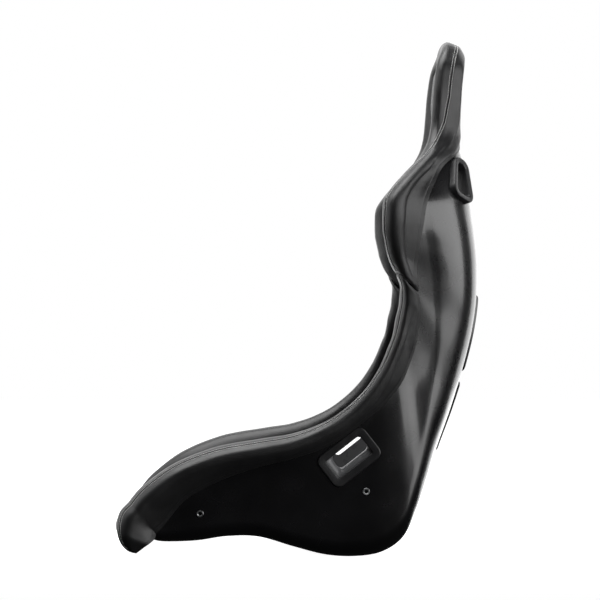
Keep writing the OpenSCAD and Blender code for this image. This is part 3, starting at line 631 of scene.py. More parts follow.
LAP_PLATE = [(LAP_RIM, 0.05, 14), (LAP_RIM, 2.0, 14), (LAP_RIM - 0.25, 2.7, 13.7),
             (LAP_RIM - 1.4, 3.5, 12.6), (LAP_RIM - 2.0, 3.5, 12), (1.6, 3.3, 4.6),
             (0.9, 3.1, 4), (0.25, 2.6, 3.4), (0.0, 1.9, 3), (0.0, -WALL / 2, 3),
             (COLLAR, -WALL / 2, 6), (COLLAR, 0.05, 6)]
FUNNEL = 11.0
BACK_PLATE = -LINING_FAR - GAP
for side, hand in ((1, "left"), (-1, "right")):
    where = frame_on_side(LAP_Y, LAP_Z, LAP_TILT)
    plate = loft(f"lap_slot_plate_{hand}", [lap_outline(g, r) for g, _, r in LAP_PLATE],
                 [h for _, h, _ in LAP_PLATE], where, side, closed=True, smooth_angle=28)
    finish_trim(plate, f"lap_slot_bezel_{hand}", trim_black)
    funnel_in = rounded_outline(LAP_L - FUNNEL, LAP_H - FUNNEL, 9.0) + FUNNEL / 2
    steps = np.linspace(0, 1, 9)
    outlines = [lap_outline(COLLAR, 6), lap_outline(COLLAR, 6), lap_outline(LAP_RIM, 14),
                lap_outline(LAP_RIM, 14), lap_outline(LAP_RIM - 1.2, 12.8)]
    heights = [-WALL / 2 - GAP, BACK_PLATE, BACK_PLATE, BACK_PLATE - 2.4, BACK_PLATE - TRIM_RISE]
    outlines += [funnel_in, funnel_in]
    heights += [BACK_PLATE - TRIM_RISE, BACK_PLATE - TRIM_RISE + 1.5]
    full = lap_outline(0, 3)
    for t in steps[1:]:
        sweep = math.sin(t * math.pi / 2)
        outlines.append(funnel_in + (full - funnel_in) * (1 - math.cos(t * math.pi / 2)))
        heights.append(mix(BACK_PLATE - TRIM_RISE + 1.5, -WALL / 2 - GAP, sweep))
    funnel = loft(f"lap_slot_funnel_{hand}", outlines, heights, where, side, closed=True,
                  smooth_angle=40)
    finish_trim(funnel, f"lap_slot_inner_trim_{hand}", funnel_painted_sheen)

# --- Shoulder-belt slots ----------------------------------------------------------------------
# A deep moulded ring stands proud of each rear corner below the neck, with a satin face, and a
# matching ring closes the cut edge inside the seat.
SHOULDER_DEPTH, SHOULDER_REACH = 7.0, 19.0
SHOULDER_RING = [(SHOULDER_RIM, -SHOULDER_DEPTH), (SHOULDER_RIM, 5.6), (SHOULDER_RIM - 0.3, 6.6),
                 (SHOULDER_RIM - 1.0, 7.3), (SHOULDER_RIM - 2.0, 7.5), (2.6, 6.6), (1.4, 6.1),
                 (0.5, 5.2), (0.0, 3.9), (0.0, -SHOULDER_DEPTH)]
INNER_RING = [(SHOULDER_RIM, -SHOULDER_DEPTH - GAP), (SHOULDER_RIM, -SHOULDER_REACH + 1.5),
              (SHOULDER_RIM - 1.5, -SHOULDER_REACH), (1.8, -SHOULDER_REACH),
              (0.5, -SHOULDER_REACH + 0.5), (0.0, -SHOULDER_REACH + 1.8),
              (0.0, -SHOULDER_DEPTH - GAP)]
for side, hand in ((1, "left"), (-1, "right")):
    for name, profile, node, finish in (
            ("ring", SHOULDER_RING, "bezel", trim_black),
            ("inner_ring", INNER_RING, "inner_trim", trim_black)):
        ring = loft(f"shoulder_slot_{name}_{hand}", [shoulder_outline(g) for g, _ in profile],
                    [h for _, h in profile], frame_at(SHOULDER_U, SHOULDER_V), side,
                    closed=True, smooth_angle=45)
        finish_trim(ring, f"shoulder_slot_{node}_{hand}", finish)

# --- Crotch-belt slot -------------------------------------------------------------------------
# The same kind of moulded trim, in two halves that clip together through the pan.
CROTCH_OUT = [(CROTCH_RIM, 0.05, 14), (CROTCH_RIM, 2.4, 14), (CROTCH_RIM - 0.4, 3.1, 13.6),
              (CROTCH_RIM - 1.4, 3.5, 12.6), (1.0, 3.3, 9), (0.2, 2.6, 8.2), (0, 1.8, 8),
              (0, -WALL / 2, 8), (COLLAR, -WALL / 2, 10.5), (COLLAR, 0.05, 10.5)]
CROTCH_IN = [(COLLAR, -WALL / 2 - GAP, 10.5), (COLLAR, BACK_PLATE, 10.5),
             (CROTCH_RIM, BACK_PLATE, 14), (CROTCH_RIM, BACK_PLATE - 2.4, 14),
             (CROTCH_RIM - 1.2, BACK_PLATE - TRIM_RISE, 12.8),
             (1.0, BACK_PLATE - TRIM_RISE, 9), (0, BACK_PLATE - 2.2, 8), (0, -WALL / 2 - GAP, 8)]
for name, profile, node in (("outer_trim", CROTCH_OUT, "crotch_slot_bezel"),
                            ("inner_trim", CROTCH_IN, "crotch_slot_inner_trim")):
    trim = loft(f"crotch_slot_{name}",
                [rounded_outline(CROTCH_L + 2 * g, CROTCH_H + 2 * g, r) for g, _, r in profile],
                [h for _, h, _ in profile], frame_at(CROTCH_U, 0), closed=True, smooth_angle=35)
    finish_trim(trim, node, trim_black)

# --- Thigh bolsters ---------------------------------------------------------------------------
# A roll of moulded foam over each side rim in a black leather cover, twin-stitched along the
# crest and glued to the moulding at its outer hem. Its front end sweeps down to a closed tip.
THIGH_ROWS, SHOULDER_ROWS = (4.3, NOTCH_ROW - 0.1), (NOTCH_ROW + 0.1, WING_ROW)
SKIN = COVER_T + GAP
CREASE, SPAN_STEPS = 2, 14
FLAT_STEPS, ROUND_STEPS, INNER_STEPS = 7, 13, 30
HEM_BAND, HEM_TURN, SHOULDER_ROLL = 8.0, 11.0, 21.0
STITCH_PITCH, STITCH_GAP, THREAD = 3.0, 2.5, 0.48


def bell(x, width):
    return np.exp(-(x / width) ** 2)


def crease_share(us):
    """How crisp the crease between roll and panel is: only the shoulders have one."""
    u = np.asarray(us, float)
    return ramp(u, 18.9, 20.2) * (1 - ramp(u, 23.8, 25.4))


def near_rim(u, w, d):
    """A point w above the rim (below it when negative) and d inwards from the outside."""
    up = unit(outside(u, 1) - outside(u, 0.97))
    p = inside(u, np.where(w < 0, v_down(u, -w), 1), d)
    return p + np.maximum(w, 0)[..., None] * up


def roll_controls(us, inset):
    """The points that a roll's section passes through, from its outer hem to its inner hem."""
    u = np.asarray(us, float)[:, None]
    hem = section(u)[..., 9] + HEM_TURN * bell(u - 25.2, 0.9)
    low = mix(np.minimum(ROLL_W, 0.6 * hem), SHOULDER_ROLL, crease_share(u))
    out = mix(ROLL_OUT, HEAD_OUT, ramp(u, NECK_ROW - 2, NECK_ROW))
    rise = mix(ROLL_RISE, WING_RISE, ramp(u, WING_ROW - 1, NECK_ROW))
    pad = mix(mix(THIGH_PAD, 14, ramp(u, 8, 11)),
              mix(SHOULDER_PAD, WING_PAD, ramp(u, NECK_ROW - 3, NECK_ROW)),
              ramp(u, 12, BELT_ROW + 1))
    reach = hem_inside(u)
    deep = WALL + pad
    one = np.ones_like(u)
    w = [-hem, -mix(hem, low, 0.5), -low, -0.8 * low, -0.4 * low, 0 * u, 0.7 * rise, rise,
         0.75 * rise, 0 * u, -0.25 * reach, -0.55 * reach, -0.85 * reach, -reach]
    crisp, swell = crease_share(u), out - SKIN
    first = [mix(-SKIN - share * swell, -SKIN - flat, crisp)
             for share, flat in ((0.5, 1), (0.8, 2), (0.92, 0.75 * out - SKIN))]
    d = [-SKIN * one, *first, -out, -0.9 * out,
         -0.4 * out, 0.3 * deep, 0.65 * deep, 0.9 * deep, deep, 0.97 * deep, 0.8 * deep,
         (WALL + SKIN + 6) * one]
    in_w = [0, 0, 0, 0, 0, -0.3, -0.7, -1, -0.8, -0.2, 0, 0, 0, 0]
    in_d = [1, 1, 1, 1, 1, 0.9, 0.7, 0, -0.6, -1, -1, -1, -1, -1]
    w = np.concatenate(w, 1) + inset * np.array(in_w)
    d = np.concatenate(d, 1) + inset * np.array(in_d)
    return near_rim(np.broadcast_to(u, w.shape), w, d)


def moulding_controls(us):
    """The points of the moulding under a roll's section."""
    u = np.asarray(us, float)[:, None]
    hem = section(u)[..., 9]
    low = np.minimum(ROLL_W, 0.6 * hem)
    reach = hem_inside(u)
    one = np.ones_like(u)
    w = [-hem, -mix(hem, low, 0.5), -low, -0.8 * low, -0.4 * low, -0.5 * one, GAP * one, GAP * one,
         GAP * one, -one, -0.25 * reach, -0.55 * reach, -0.85 * reach, -reach]
    d = [-GAP] * 7 + [WALL / 2] + [WALL + GAP] * 6
    w = np.concatenate(w, 1)
    return near_rim(np.broadcast_to(u, w.shape), w, np.broadcast_to(np.array(d), w.shape))


def through(points, crisp=None):
    """A smooth curve through each row of points, with a corner at the panel crease."""
    before = np.empty_like(points)
    before[:, 1:-1] = 0.5 * (points[:, 2:] - points[:, :-2])
    before[:, 0] = points[:, 1] - points[:, 0]
    before[:, -1] = points[:, -1] - points[:, -2]
    after = before.copy()
    if crisp is not None:
        c = crisp[:, None]
        before[:, CREASE] = mix(before[:, CREASE], points[:, CREASE] - points[:, CREASE - 1], c)
        after[:, CREASE] = mix(after[:, CREASE], 1.2 * (points[:, CREASE + 1] - points[:, CREASE]), c)
    t = np.arange(SPAN_STEPS)[None, None, :, None] / SPAN_STEPS
    a, b = points[:, :-1, None], points[:, 1:, None]
    ma, mb = after[:, :-1, None], before[:, 1:, None]
    curve = ((2 * t**3 - 3 * t**2 + 1) * a + (t**3 - 2 * t**2 + t) * ma
             + (3 * t**2 - 2 * t**3) * b + (t**3 - t**2) * mb)
    rows = points.shape[0]
    return np.concatenate([curve.reshape(rows, -1, 3), points[:, -1:]], axis=1)


def run_length(curve):
    steps = np.linalg.norm(np.diff(curve, axis=1), axis=-1)
    return np.concatenate([np.zeros((len(curve), 1)), np.cumsum(steps, axis=1)], axis=1)


def at_lengths(curve, run, wanted):
    """Points of each row's curve at the wanted distances from its outer hem."""
    found = np.empty(wanted.shape + (3,))
    for i in range(len(curve)):
        for axis in range(3):
            found[i, :, axis] = np.interp(wanted[i], run[i], curve[i, :, axis])
    return found


SEAM_PATH = np.array([[3, 6.95], [6, 6.9], [8, 6.75], [11, 6.55], [18, 6.6], [20, 7.0], [24.5, 7.1],
                      [25.4, 6.7], [26.3, 5.9], [27.3, 5.1], [28.5, 4.45], [30, 4.4], [33, 5.0]])


def seam_place(us):
    """Where the crest seam lies along the section: near the crest, and at mid depth on the head."""
    return np.interp(us, SEAM_PATH[:, 0], SEAM_PATH[:, 1])


def landmarks(us, run):
    """Distances from the outer hem to the panel crease, the crest seam and the inner hem."""
    crease = run[:, CREASE * SPAN_STEPS]
    place_of = seam_place(us) * SPAN_STEPS
    seam = np.array([np.interp(p, np.arange(run.shape[1]), r) for p, r in zip(place_of, run)])
    return crease, seam, run[:, -1]


AT_CREASE = np.array([-2.6, -1.4, -0.7, -0.3, 0, 0.3, 0.7, 1.4, 2.6])
AT_SEAM = np.array([-5, -3.9, -3.1, -2.6, -2.0, -1.3, -0.8, -0.4, 0,
                    0.4, 0.8, 1.3, 2.0, 2.6, 3.1, 3.9, 5])
SEWN_AT = (-5, 5)
AT_HEM = np.array([0, 0.5, 1.2, 4.0, 7.0, 7.6, 8.1, 8.8])


def roll_lengths(us, run):
    crease, seam, end = [x[:, None] for x in landmarks(us, run)]
    crease = np.maximum(crease, HEM_BAND + 4)
    t = np.linspace(0, 1, FLAT_STEPS + 2)[None, 1:-1]
    rise = np.linspace(0, 1, ROUND_STEPS + 2)[None, 1:-1]
    parts = [np.broadcast_to(AT_HEM, (len(run), len(AT_HEM))),
             mix(AT_HEM[-1], crease + AT_CREASE[0], t), crease + AT_CREASE,
             mix(crease + AT_CREASE[-1], seam + AT_SEAM[0], rise),
             seam + AT_SEAM,
             mix(seam + AT_SEAM[-1], end, np.linspace(0, 1, INNER_STEPS + 1)[None, 1:])]
    return np.concatenate(parts, axis=1)


def grid_normals(grid):
    across, along = np.gradient(grid, axis=1), np.gradient(grid, axis=0)
    return unit(np.cross(across, along))


def folds(grid, scale, seed):
    """Smooth noise over a grid of points, from -1 to 1, the same each time."""
    flat = grid.reshape(-1, 3) * scale
    found = [noise.noise(Vector((p[0] + seed, p[1], p[2]))) for p in flat]
    return np.array(found).reshape(grid.shape[:2])


def roll_relief(us, lengths, run, grid, closed_ends):
    """How far each point stands out from the plain roll: hem band, crease, seam, folds, ends."""
    crease, seam, end = [x[:, None] for x in landmarks(us, run)]
    crease = np.maximum(crease, HEM_BAND + 4)
    crisp = crease_share(us)[:, None]
    relief = -0.55 * bell(lengths - 7.4, 0.7) - 0.25 * bell(lengths - 3.6, 0.7) * crisp
    relief = relief - 0.12 * crisp * bell(lengths - crease, 0.8)
    relief = relief - 1.3 * bell(lengths - seam, 0.7)
    relief = relief - 0.3 * (bell(lengths - seam - STITCH_GAP, 0.8)
                             + bell(lengths - seam + STITCH_GAP, 0.8))
    relief = relief + 0.25 * folds(grid, 0.03, 3.0) + 0.1 * folds(grid, 0.11, 9.0)
    travel = np.concatenate([[0], np.cumsum(np.linalg.norm(
        np.diff(grid[:, grid.shape[1] // 2], axis=0), axis=-1))])
    reach = 7.0
    for here, closes in ((travel, closed_ends[0]), (travel[-1] - travel, closed_ends[1])):
        if closes:
            e = np.clip(here / reach, 0, 1)[:, None]
            puckers = 0.8 * folds(grid, 0.07, 21.0) * bell(here / 26.0, 1.0)[:, None]
            relief = relief - closes * (1 - np.sqrt(1 - (1 - e) ** 2)) + puckers
    hem_hold = ramp(end - lengths, 0, 6)
    return relief * hem_hold


def mirrored(points):
    return points * MIRROR_X


def roll_skin(us, closed_ends):
    """The two faces of a cover's leather, with its lengths and marks for the stitches."""
    crisp = crease_share(us)
    curve = through(roll_controls(us, 0), crisp)
    run = run_length(curve)
    lengths = roll_lengths(us, run)
    grid = at_lengths(curve, run, lengths)
    under_curve = through(roll_controls(us, COVER_T), crisp)
    under_run = run_length(under_curve)
    under = at_lengths(under_curve, under_run, lengths * under_run[:, -1:] / run[:, -1:])
    normal = grid_normals(grid)
    normal = normal * np.sign(np.sum(normal * (grid - under), axis=-1).mean())
    relief = roll_relief(us, lengths, run, grid, closed_ends)
    return grid + relief[..., None] * normal, under, lengths, run


def leather_material(name, base, rough):
    """Soft black hide: pebbled grain, finer pores, pull wrinkles and a handled sheen."""
    m, tree, shader = new_material(name, base, rough, Specular_IOR_Level=0.5,
                                   Sheen_Weight=0.03, Sheen_Roughness=0.4)
    coords = own_coordinates(tree)
    pebbles = add_node(tree, "ShaderNodeTexVoronoi", {"Vector": (coords, "Object")},
                       feature="SMOOTH_F1", Scale=720.0, Smoothness=0.6)
    pores = noise_of(tree, coords, 3200.0, 2.0)
    pull = noise_of(tree, coords, 55.0, 4.0, 0.55)
    handled = noise_of(tree, coords, 18.0, 3.0)
    rough_map = ramp_of(tree, handled, "Fac", rough - 0.06, rough + 0.1)
    tree.links.new(rough_map.outputs[0], shader.inputs["Roughness"])
    tint = colour_mix(tree, pull, "Fac", tuple(0.75 * c for c in base), tuple(1.3 * c for c in base))
    tree.links.new(tint.outputs[2], shader.inputs["Base Color"])
    soft = add_bump(tree, shader, pull, "Fac", 0.0011, 0.35)
    fine = add_bump(tree, shader, pores, "Fac", 0.00004, 0.4, soft)
    add_bump(tree, shader, pebbles, "Distance", 0.00022, 0.6, fine)
    return m


def foam_material():
    """Moulded polyurethane foam: pale grey open cells."""
    m, tree, shader = new_material("foam_core", (0.2, 0.2, 0.205), 0.95)
    coords = own_coordinates(tree)
    cells = add_node(tree, "ShaderNodeTexVoronoi", {"Vector": (coords, "Object")}, Scale=900.0)
    add_bump(tree, shader, cells, "Distance", 0.0006, 0.8)
    return m


def thread_material():
    """Waxed polyester thread: pale grey with a twist that shows as fine bands."""
    m, tree, shader = new_material("seam_thread", (0.62, 0.62, 0.61), 0.5, Sheen_Weight=0.2)
    coords = own_coordinates(tree)
    twist = add_node(tree, "ShaderNodeTexWave", {"Vector": (coords, "Object")}, Scale=520.0,
                     Distortion=1.5)
    tint = colour_mix(tree, twist, "Fac", (0.5, 0.5, 0.49), (0.72, 0.72, 0.71))
    tree.links.new(tint.outputs[2], shader.inputs["Base Color"])
    return m


hide = leather_material("black_hide", (0.0105, 0.0105, 0.011), 0.4)
foam_core = foam_material()
seam_thread = thread_material()


def stitch_tree():
    """A node tree that lays one stitch at each pitch along every edge chain of a mesh."""
    tree = bpy.data.node_groups.new("stitch_run", "GeometryNodeTree")
    for label, kind, value in (("Geometry", "Geometry", None), ("Pitch", "Float", 0.003),
                               ("Stitch Length", "Float", 0.0024), ("Thread Radius", "Float", 0.0004),
                               ("Material", "Material", None)):
        made = tree.interface.new_socket(label, in_out="INPUT", socket_type="NodeSocket" + kind)
        if value:
            made.default_value = value
    tree.interface.new_socket("Geometry", in_out="OUTPUT", socket_type="NodeSocketGeometry")
    start, end = tree.nodes.new("NodeGroupInput"), tree.nodes.new("NodeGroupOutput")
    chain = add_node(tree, "GeometryNodeMeshToCurve", {"Mesh": (start, "Geometry")})
    points = add_node(tree, "GeometryNodeCurveToPoints",
                      {"Curve": (chain, "Curve"), "Length": (start, "Pitch")}, mode="LENGTH")
    turned = add_node(tree, "FunctionNodeAlignRotationToVector", {"Vector": (points, "Tangent")},
                      axis="Z")
    half = add_node(tree, "ShaderNodeMath", {0: (start, "Stitch Length")}, operation="MULTIPLY")
    half.inputs[1].default_value = 0.5
    size = add_node(tree, "ShaderNodeCombineXYZ", {"X": (start, "Thread Radius"),
                                                   "Y": (start, "Thread Radius"), "Z": (half, 0)})
    bead = add_node(tree, "GeometryNodeMeshUVSphere", Segments=6, Rings=5, Radius=1.0)
    laid = add_node(tree, "GeometryNodeInstanceOnPoints",
                    {"Points": (points, "Points"), "Instance": (bead, "Mesh"),
                     "Rotation": (turned, "Rotation"), "Scale": (size, "Vector")})
    smooth = add_node(tree, "GeometryNodeSetShadeSmooth", {"Geometry": (laid, "Instances")})
    real = add_node(tree, "GeometryNodeRealizeInstances", {"Geometry": (smooth, "Geometry")})
    coloured = add_node(tree, "GeometryNodeSetMaterial",
                        {"Geometry": (real, "Geometry"), "Material": (start, "Material")})
    tree.links.new(coloured.outputs["Geometry"], end.inputs["Geometry"])
    return tree


STITCHES = stitch_tree()


def sew(name, lines):
    """Stitches along lines of points in millimetres, as one piece of thread."""
    points, edges = [], []
    for line in lines:
        edges += [(len(points) + k, len(points) + k + 1) for k in range(len(line) - 1)]
        points += [tuple(p) for p in np.asarray(line) * MM]
    mesh = bpy.data.meshes.new(name)
    mesh.from_pydata(points, edges, [])
    thread = bpy.data.objects.new(name, mesh)
    bpy.context.scene.collection.objects.link(thread)
    layer = thread.modifiers.new("stitches", "NODES")
    layer.node_group = STITCHES
    sizes = {"Pitch": STITCH_PITCH * MM, "Stitch Length": 0.8 * STITCH_PITCH * MM,
             "Thread Radius": THREAD * MM, "Material": seam_thread}
    for item in STITCHES.interface.items_tree:
        if item.in_out == "INPUT" and item.name in sizes:
            layer[item.identifier] = sizes[item.name]
    apply_modifiers(thread)
    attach(thread, "root")
    return thread


def seam_lines(us, skin, lengths, run, closed_ends, lift=0.12):
    """Two stitch lines beside the crest seam, kept off closed ends."""
    seam = landmarks(us, run)[1]
    travel = np.concatenate([[0], np.cumsum(np.linalg.norm(
        np.diff(skin[:, skin.shape[1] // 2], axis=0), axis=-1))])
    keep = ((travel > 5 * bool(closed_ends[0]))
            & (travel < travel[-1] - 5 * bool(closed_ends[1])))
    normal = grid_normals(skin)
    centre = skin.mean(axis=1, keepdims=True)
    normal = normal * np.sign(np.sum(normal * (skin - centre), axis=-1).mean())
    raised = skin + lift * normal
    found = []
    for wanted in (seam - STITCH_GAP, seam + STITCH_GAP):
        line = at_lengths(raised, lengths, wanted[:, None])[:, 0]
        found.append(line[keep])
    return found


def add_tube(piece, rings):
    """Adds a closed run of rings of points to a piece's mesh, its faces outwards."""
    n = rings.shape[1]
    faces = [[i * n + k, i * n + (k + 1) % n, (i + 1) * n + (k + 1) % n, (i + 1) * n + k]
             for i in range(len(rings) - 1) for k in range(n)]
    faces += [list(range(n)), [(len(rings) - 1) * n + k for k in range(n)][::-1]]
    end = make_object("end", rings.reshape(-1, 3), faces, 60)
    bm = bmesh.new()
    bm.from_mesh(piece.data)
    bm.from_mesh(end.data)
    bm.to_mesh(piece.data)
    bm.free()
    piece.data.polygons.foreach_set("use_smooth", [True] * len(piece.data.polygons))
    bpy.data.objects.remove(end)


def cover_and_foam(name, cover_nodes, foam_nodes, us, closed_ends, sides, with_toe=False):
    """A leather cover, its stitches and its foam, on one side or over the top of the head."""
    skin, under, lengths, run = roll_skin(us, closed_ends)
    lines = seam_lines(us, skin, lengths, run, closed_ends)
    toe = None
    if with_toe:
        seam_at = (len(AT_HEM) + FLAT_STEPS + len(AT_CREASE) + ROUND_STEPS
                   + len(AT_SEAM) // 2)
        toe = toe_rings(skin, seam_at)
        middle = toe.mean(axis=1, keepdims=True)
        proud = toe + 0.05 * unit(toe - middle)
        lines = [np.concatenate([proud[:-3, seam_at + side][::-1], line])
                 for side, line in zip(SEWN_AT, lines)]
    foam_us = us[::4] if (len(us) - 1) % 4 == 0 else us
    first = 3 * SPAN_STEPS
    core = through(roll_controls(foam_us, COVER_T + GAP))[:, first::4]
    seat = through(moulding_controls(foam_us))[:, first::4]
    for side, cover_node, foam_node in zip(sides, cover_nodes, foam_nodes):
        if side == 0:
            skins = [np.concatenate([g, mirrored(g)[-2::-1]]) for g in (skin, under)]
            cores = [np.concatenate([g, mirrored(g)[-2::-1]]) for g in (core, seat)]
            sewn = [np.concatenate([ln, mirrored(ln)[-2::-1]]) for ln in lines]
        else:
            turn = (lambda g: g) if side > 0 else mirrored
            skins, cores, sewn = ([turn(g) for g in held]
                                  for held in ((skin, under), (core, seat), lines))
        hand = {1: "_left", -1: "_right", 0: ""}[side]
        cover = slab(f"{name}_hide{hand}", *skins, smooth_angle=60)
        if toe is not None:
            add_tube(cover, turn(toe))
        cover.data.materials.append(hide)
        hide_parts(cover_node)
        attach(cover, "root")
        pad = slab(f"{name}_core{hand}", *cores)
        pad.data.materials.append(foam_core)
        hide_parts(foam_node)
        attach(pad, "root")
        sew(f"{name}_stitches{hand}", sewn)
    return skin, lengths, run


TOE_X, TOE_RINGS = 221.0, 3
TOE_FRONT = [(-296.5, 79.5), (-302, 63), (-302.5, 45), (-298, 27.5), (-288.5, 14.5), (-276, 8.5)]
TOE_HEM = [(-242.5, 37.5), (-245, 32), (-252, 26), (-260.5, 20), (-268.5, 14), (-276, 8.5)]


def toe_path(start, stops):
    """A smooth way from a point of the first section down to the tip, in Y and Z."""
    points = [[0, start[1], start[2]]] + [[0, y, z] for y, z in stops]
    return through(np.array([points], float))[0][::TOE_RINGS, 1:]


def toe_rings(skin, seam_at):
    """The front end of a thigh roll: its section sweeps down the front and closes at the tip."""
    row = skin[0]
    hem, crest = row[0], row[seam_at]
    loop = np.concatenate([row, np.linspace(row[-1], row[0], 8)[1:-1]])
    middle = 0.5 * (loop[:, 0].min() + loop[:, 0].max())
    low, high = toe_path(hem, TOE_HEM), toe_path(crest, TOE_FRONT)
    base = high[0] - low[0]
    rings = []
    for k, (foot, top) in enumerate(zip(low, high)):
        t = k / (len(low) - 1)
        now = top - foot
        size = max(np.linalg.norm(now) / np.linalg.norm(base), 0.02)
        turn = math.atan2(now[1], now[0]) - math.atan2(base[1], base[0])
        swing = np.array([[math.cos(turn), math.sin(turn)], [-math.sin(turn), math.cos(turn)]])
        around = (loop[:, 1:] - low[0]) @ swing * size + foot
        x = mix(middle, TOE_X, ramp(t, 0, 0.6))
        x = x + (loop[:, 0] - middle) * size * mix(1, 0.62, ramp(t, 0, 0.5))
        rings.append(np.column_stack([x, around]))
    return np.array(rings)


cover_and_foam("thigh_bolster", ("thigh_bolster_cover_left", "thigh_bolster_cover_right"),
               ("thigh_bolster_foam_left", "thigh_bolster_foam_right"), np.linspace(*THIGH_ROWS, 241),
               (0.0, 4.0), (1, -1), with_toe=True)

# --- Shoulder bolsters ------------------------------------------------------------------------
# The same construction from the belt line up to the neck, with a flat outer panel.
cover_and_foam("shoulder_bolster",
               ("shoulder_bolster_cover_left", "shoulder_bolster_cover_right"),
               ("shoulder_bolster_foam_left", "shoulder_bolster_foam_right"),
               np.linspace(*SHOULDER_ROWS, 141), (4.0, 0.0), (1, -1))

# --- Head cover -------------------------------------------------------------------------------
# One leather cover with foam wings on both sides of the head, sewn over the top.
cover_and_foam("head_pad", ("head_cover",), ("head_foam",), np.linspace(WING_ROW, LAST, 121),
               (0.0, 0.0), (0,))

# --- Cushions ---------------------------------------------------------------------------------
# Loose cushions of cut foam in a woven cloth cover, laid in the bucket and held to the lining
# by hook tape. Their edges are rounded over and their faces swell a little.
SEAT_PAD, BACK_PAD, HEAD_PAD = 46.0, 36.0, 30.0
PAD_BASE = LINING_FAR + HOOK_T + GAP
EDGE_H = COVER_T + GAP + 2


def cloth_material():
    """Woven cushion cloth: a plain weave of dark yarn with a soft sheen and paler slubs."""
    m, tree, shader = new_material("woven_cloth", (0.02, 0.02, 0.022), 0.82,
                                   Sheen_Weight=0.3, Sheen_Roughness=0.45)
    coords = own_coordinates(tree)
    waves = []
    for direction in ("X", "Z"):
        waves.append(add_node(tree, "ShaderNodeTexWave", {"Vector": (coords, "Object")},
                              wave_type="BANDS", bands_direction=direction, Scale=210.0,
                              Distortion=0.6))
    weave = add_node(tree, "ShaderNodeMath", {0: (waves[0], "Fac"), 1: (waves[1], "Fac")},
                     operation="MULTIPLY")
    slub = noise_of(tree, coords, 130.0, 4.0)
    tint = colour_mix(tree, slub, "Fac", (0.013, 0.013, 0.014), (0.034, 0.034, 0.036))
    tree.links.new(tint.outputs[2], shader.inputs["Base Color"])
    add_bump(tree, shader, weave, 0, 0.0004, 0.7)
    return m


woven_cloth = cloth_material()


def inflated(piece, voxel, cap, frames=20):
    """Pressure inside the cover swells a pad; no point moves further than cap."""
    remesh = piece.modifiers.new("even", "REMESH")
    remesh.mode = "VOXEL"
    remesh.voxel_size = voxel * MM
    apply_modifiers(piece)
    before = np.empty(len(piece.data.vertices) * 3)
    piece.data.vertices.foreach_get("co", before)
    cloth = piece.modifiers.new("filling", "CLOTH")
    cloth.settings.quality = 5
    cloth.settings.use_pressure = True
    cloth.settings.uniform_pressure_force = 4
    cloth.settings.effector_weights.gravity = 0
    cloth.point_cache.frame_start = 1
    cloth.point_cache.frame_end = frames
    scene = bpy.context.scene
    for frame_number in range(1, frames + 1):
        scene.frame_set(frame_number)
    apply_modifiers(piece)
    scene.frame_set(1)
    after = np.empty_like(before)
    piece.data.vertices.foreach_get("co", after)
    move = (after - before).reshape(-1, 3)
    far = np.linalg.norm(move, axis=1, keepdims=True)
    move = move * np.minimum(1, cap * MM / np.maximum(far, 1e-9))
    piece.data.vertices.foreach_set("co", (before.reshape(-1, 3) + move).ravel())
    piece.data.update()


def finish_cushion(cushion, nodes):
    even = cushion.modifiers.new("rounder", "SUBSURF")
    even.levels = even.render_levels = 1
    apply_modifiers(cushion)
    cushion.data.materials.clear()
    cushion.data.materials.append(woven_cloth)
    cushion.data.polygons.foreach_set("use_smooth", [True] * len(cushion.data.polygons))
    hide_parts(*nodes)
    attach(cushion, "root")


def crown(s):
    """Height of a pad across its width, s from -1 to 1: square-shouldered, with a soft crown."""
    return (1 - np.abs(s) ** 5) ** 0.5


def laid_pad(us, half_w, thick, inset):
    """Top and underside of a cushion laid on the moulding between two rows."""
    t = np.linspace(0, 1, len(us))
    u = us[:, None]
    ends = np.minimum(t, 1 - t)[:, None] / 0.12
    rounded = np.where(ends >= 1, 1, np.sqrt(1 - (1 - np.clip(ends, 0, 1)) ** 2))
    s = np.linspace(-1, 1, 41)[None, :]
    v = FLOOR_SHARE * np.minimum(half_w / floor_run(u), 1.35) * (1 - inset / half_w) * s
    top = PAD_BASE + EDGE_H + (thick - EDGE_H) * rounded * crown(s) - inset
    low = np.full(v.shape, PAD_BASE + 0.2)
    return inside(u, v, top), inside(u, v, low)


for name, rows, half_w, thick, nodes in (
        ("back_cushion", (14.5, 22), 128.0, BACK_PAD, ("back_cushion_cover", "back_cushion_foam")),
        ("head_cushion", (27.5, 30.5), 94.0, HEAD_PAD, ("head_cushion_cover", "head_cushion_foam"))):
    us = np.linspace(*rows, 61)
    cushion = slab(name, *laid_pad(us, half_w, thick, 4.0), smooth_angle=180)
    inflated(cushion, 5.0, 5.0)
    finish_cushion(cushion, nodes)

# Seat cushion: its rows lie on the pan, and its nose rolls over the lip in front of it.
NOSE = [[-266, 54, -268, 92], [-292, 54, -296, 81], [-308, 52, -318, 66], [-309, 40, -324, 46],
        [-309, 31, -316, 31]]
SEAT_HALF = 160.0
SEAT_ROWS, SEAT_STEPS = (11.5, 4.5), 14
low_side, top_side = [], []
for i in range(SEAT_STEPS + 1):
    u = np.array([mix(*SEAT_ROWS, i / SEAT_STEPS)])
    grow = min(0.5 * min(1, (i + 0.3) / SEAT_STEPS), 1) / 0.12
    end = 1 if grow >= 1 else math.sqrt(1 - (1 - grow) ** 2)
    low_side.append(inside(u, 0, np.array([PAD_BASE]))[0])
    top_side.append(inside(u, 0, np.array([PAD_BASE + SEAT_PAD * end]))[0])
low_side += [[0, y, z] for y, z, _, _ in NOSE]
top_side += [[0, y, z] for _, _, y, z in NOSE]
low_side, top_side = (through(np.array([side], float))[0, ::3]
                      for side in (low_side, top_side))
s = np.linspace(-1, 1, 49)[None, :, None]
across = np.array([1.0, 0, 0]) * (SEAT_HALF - 4) * s
thick = np.linalg.norm(top_side - low_side, axis=-1)[:, None, None]
up = unit(top_side - low_side)[:, None]
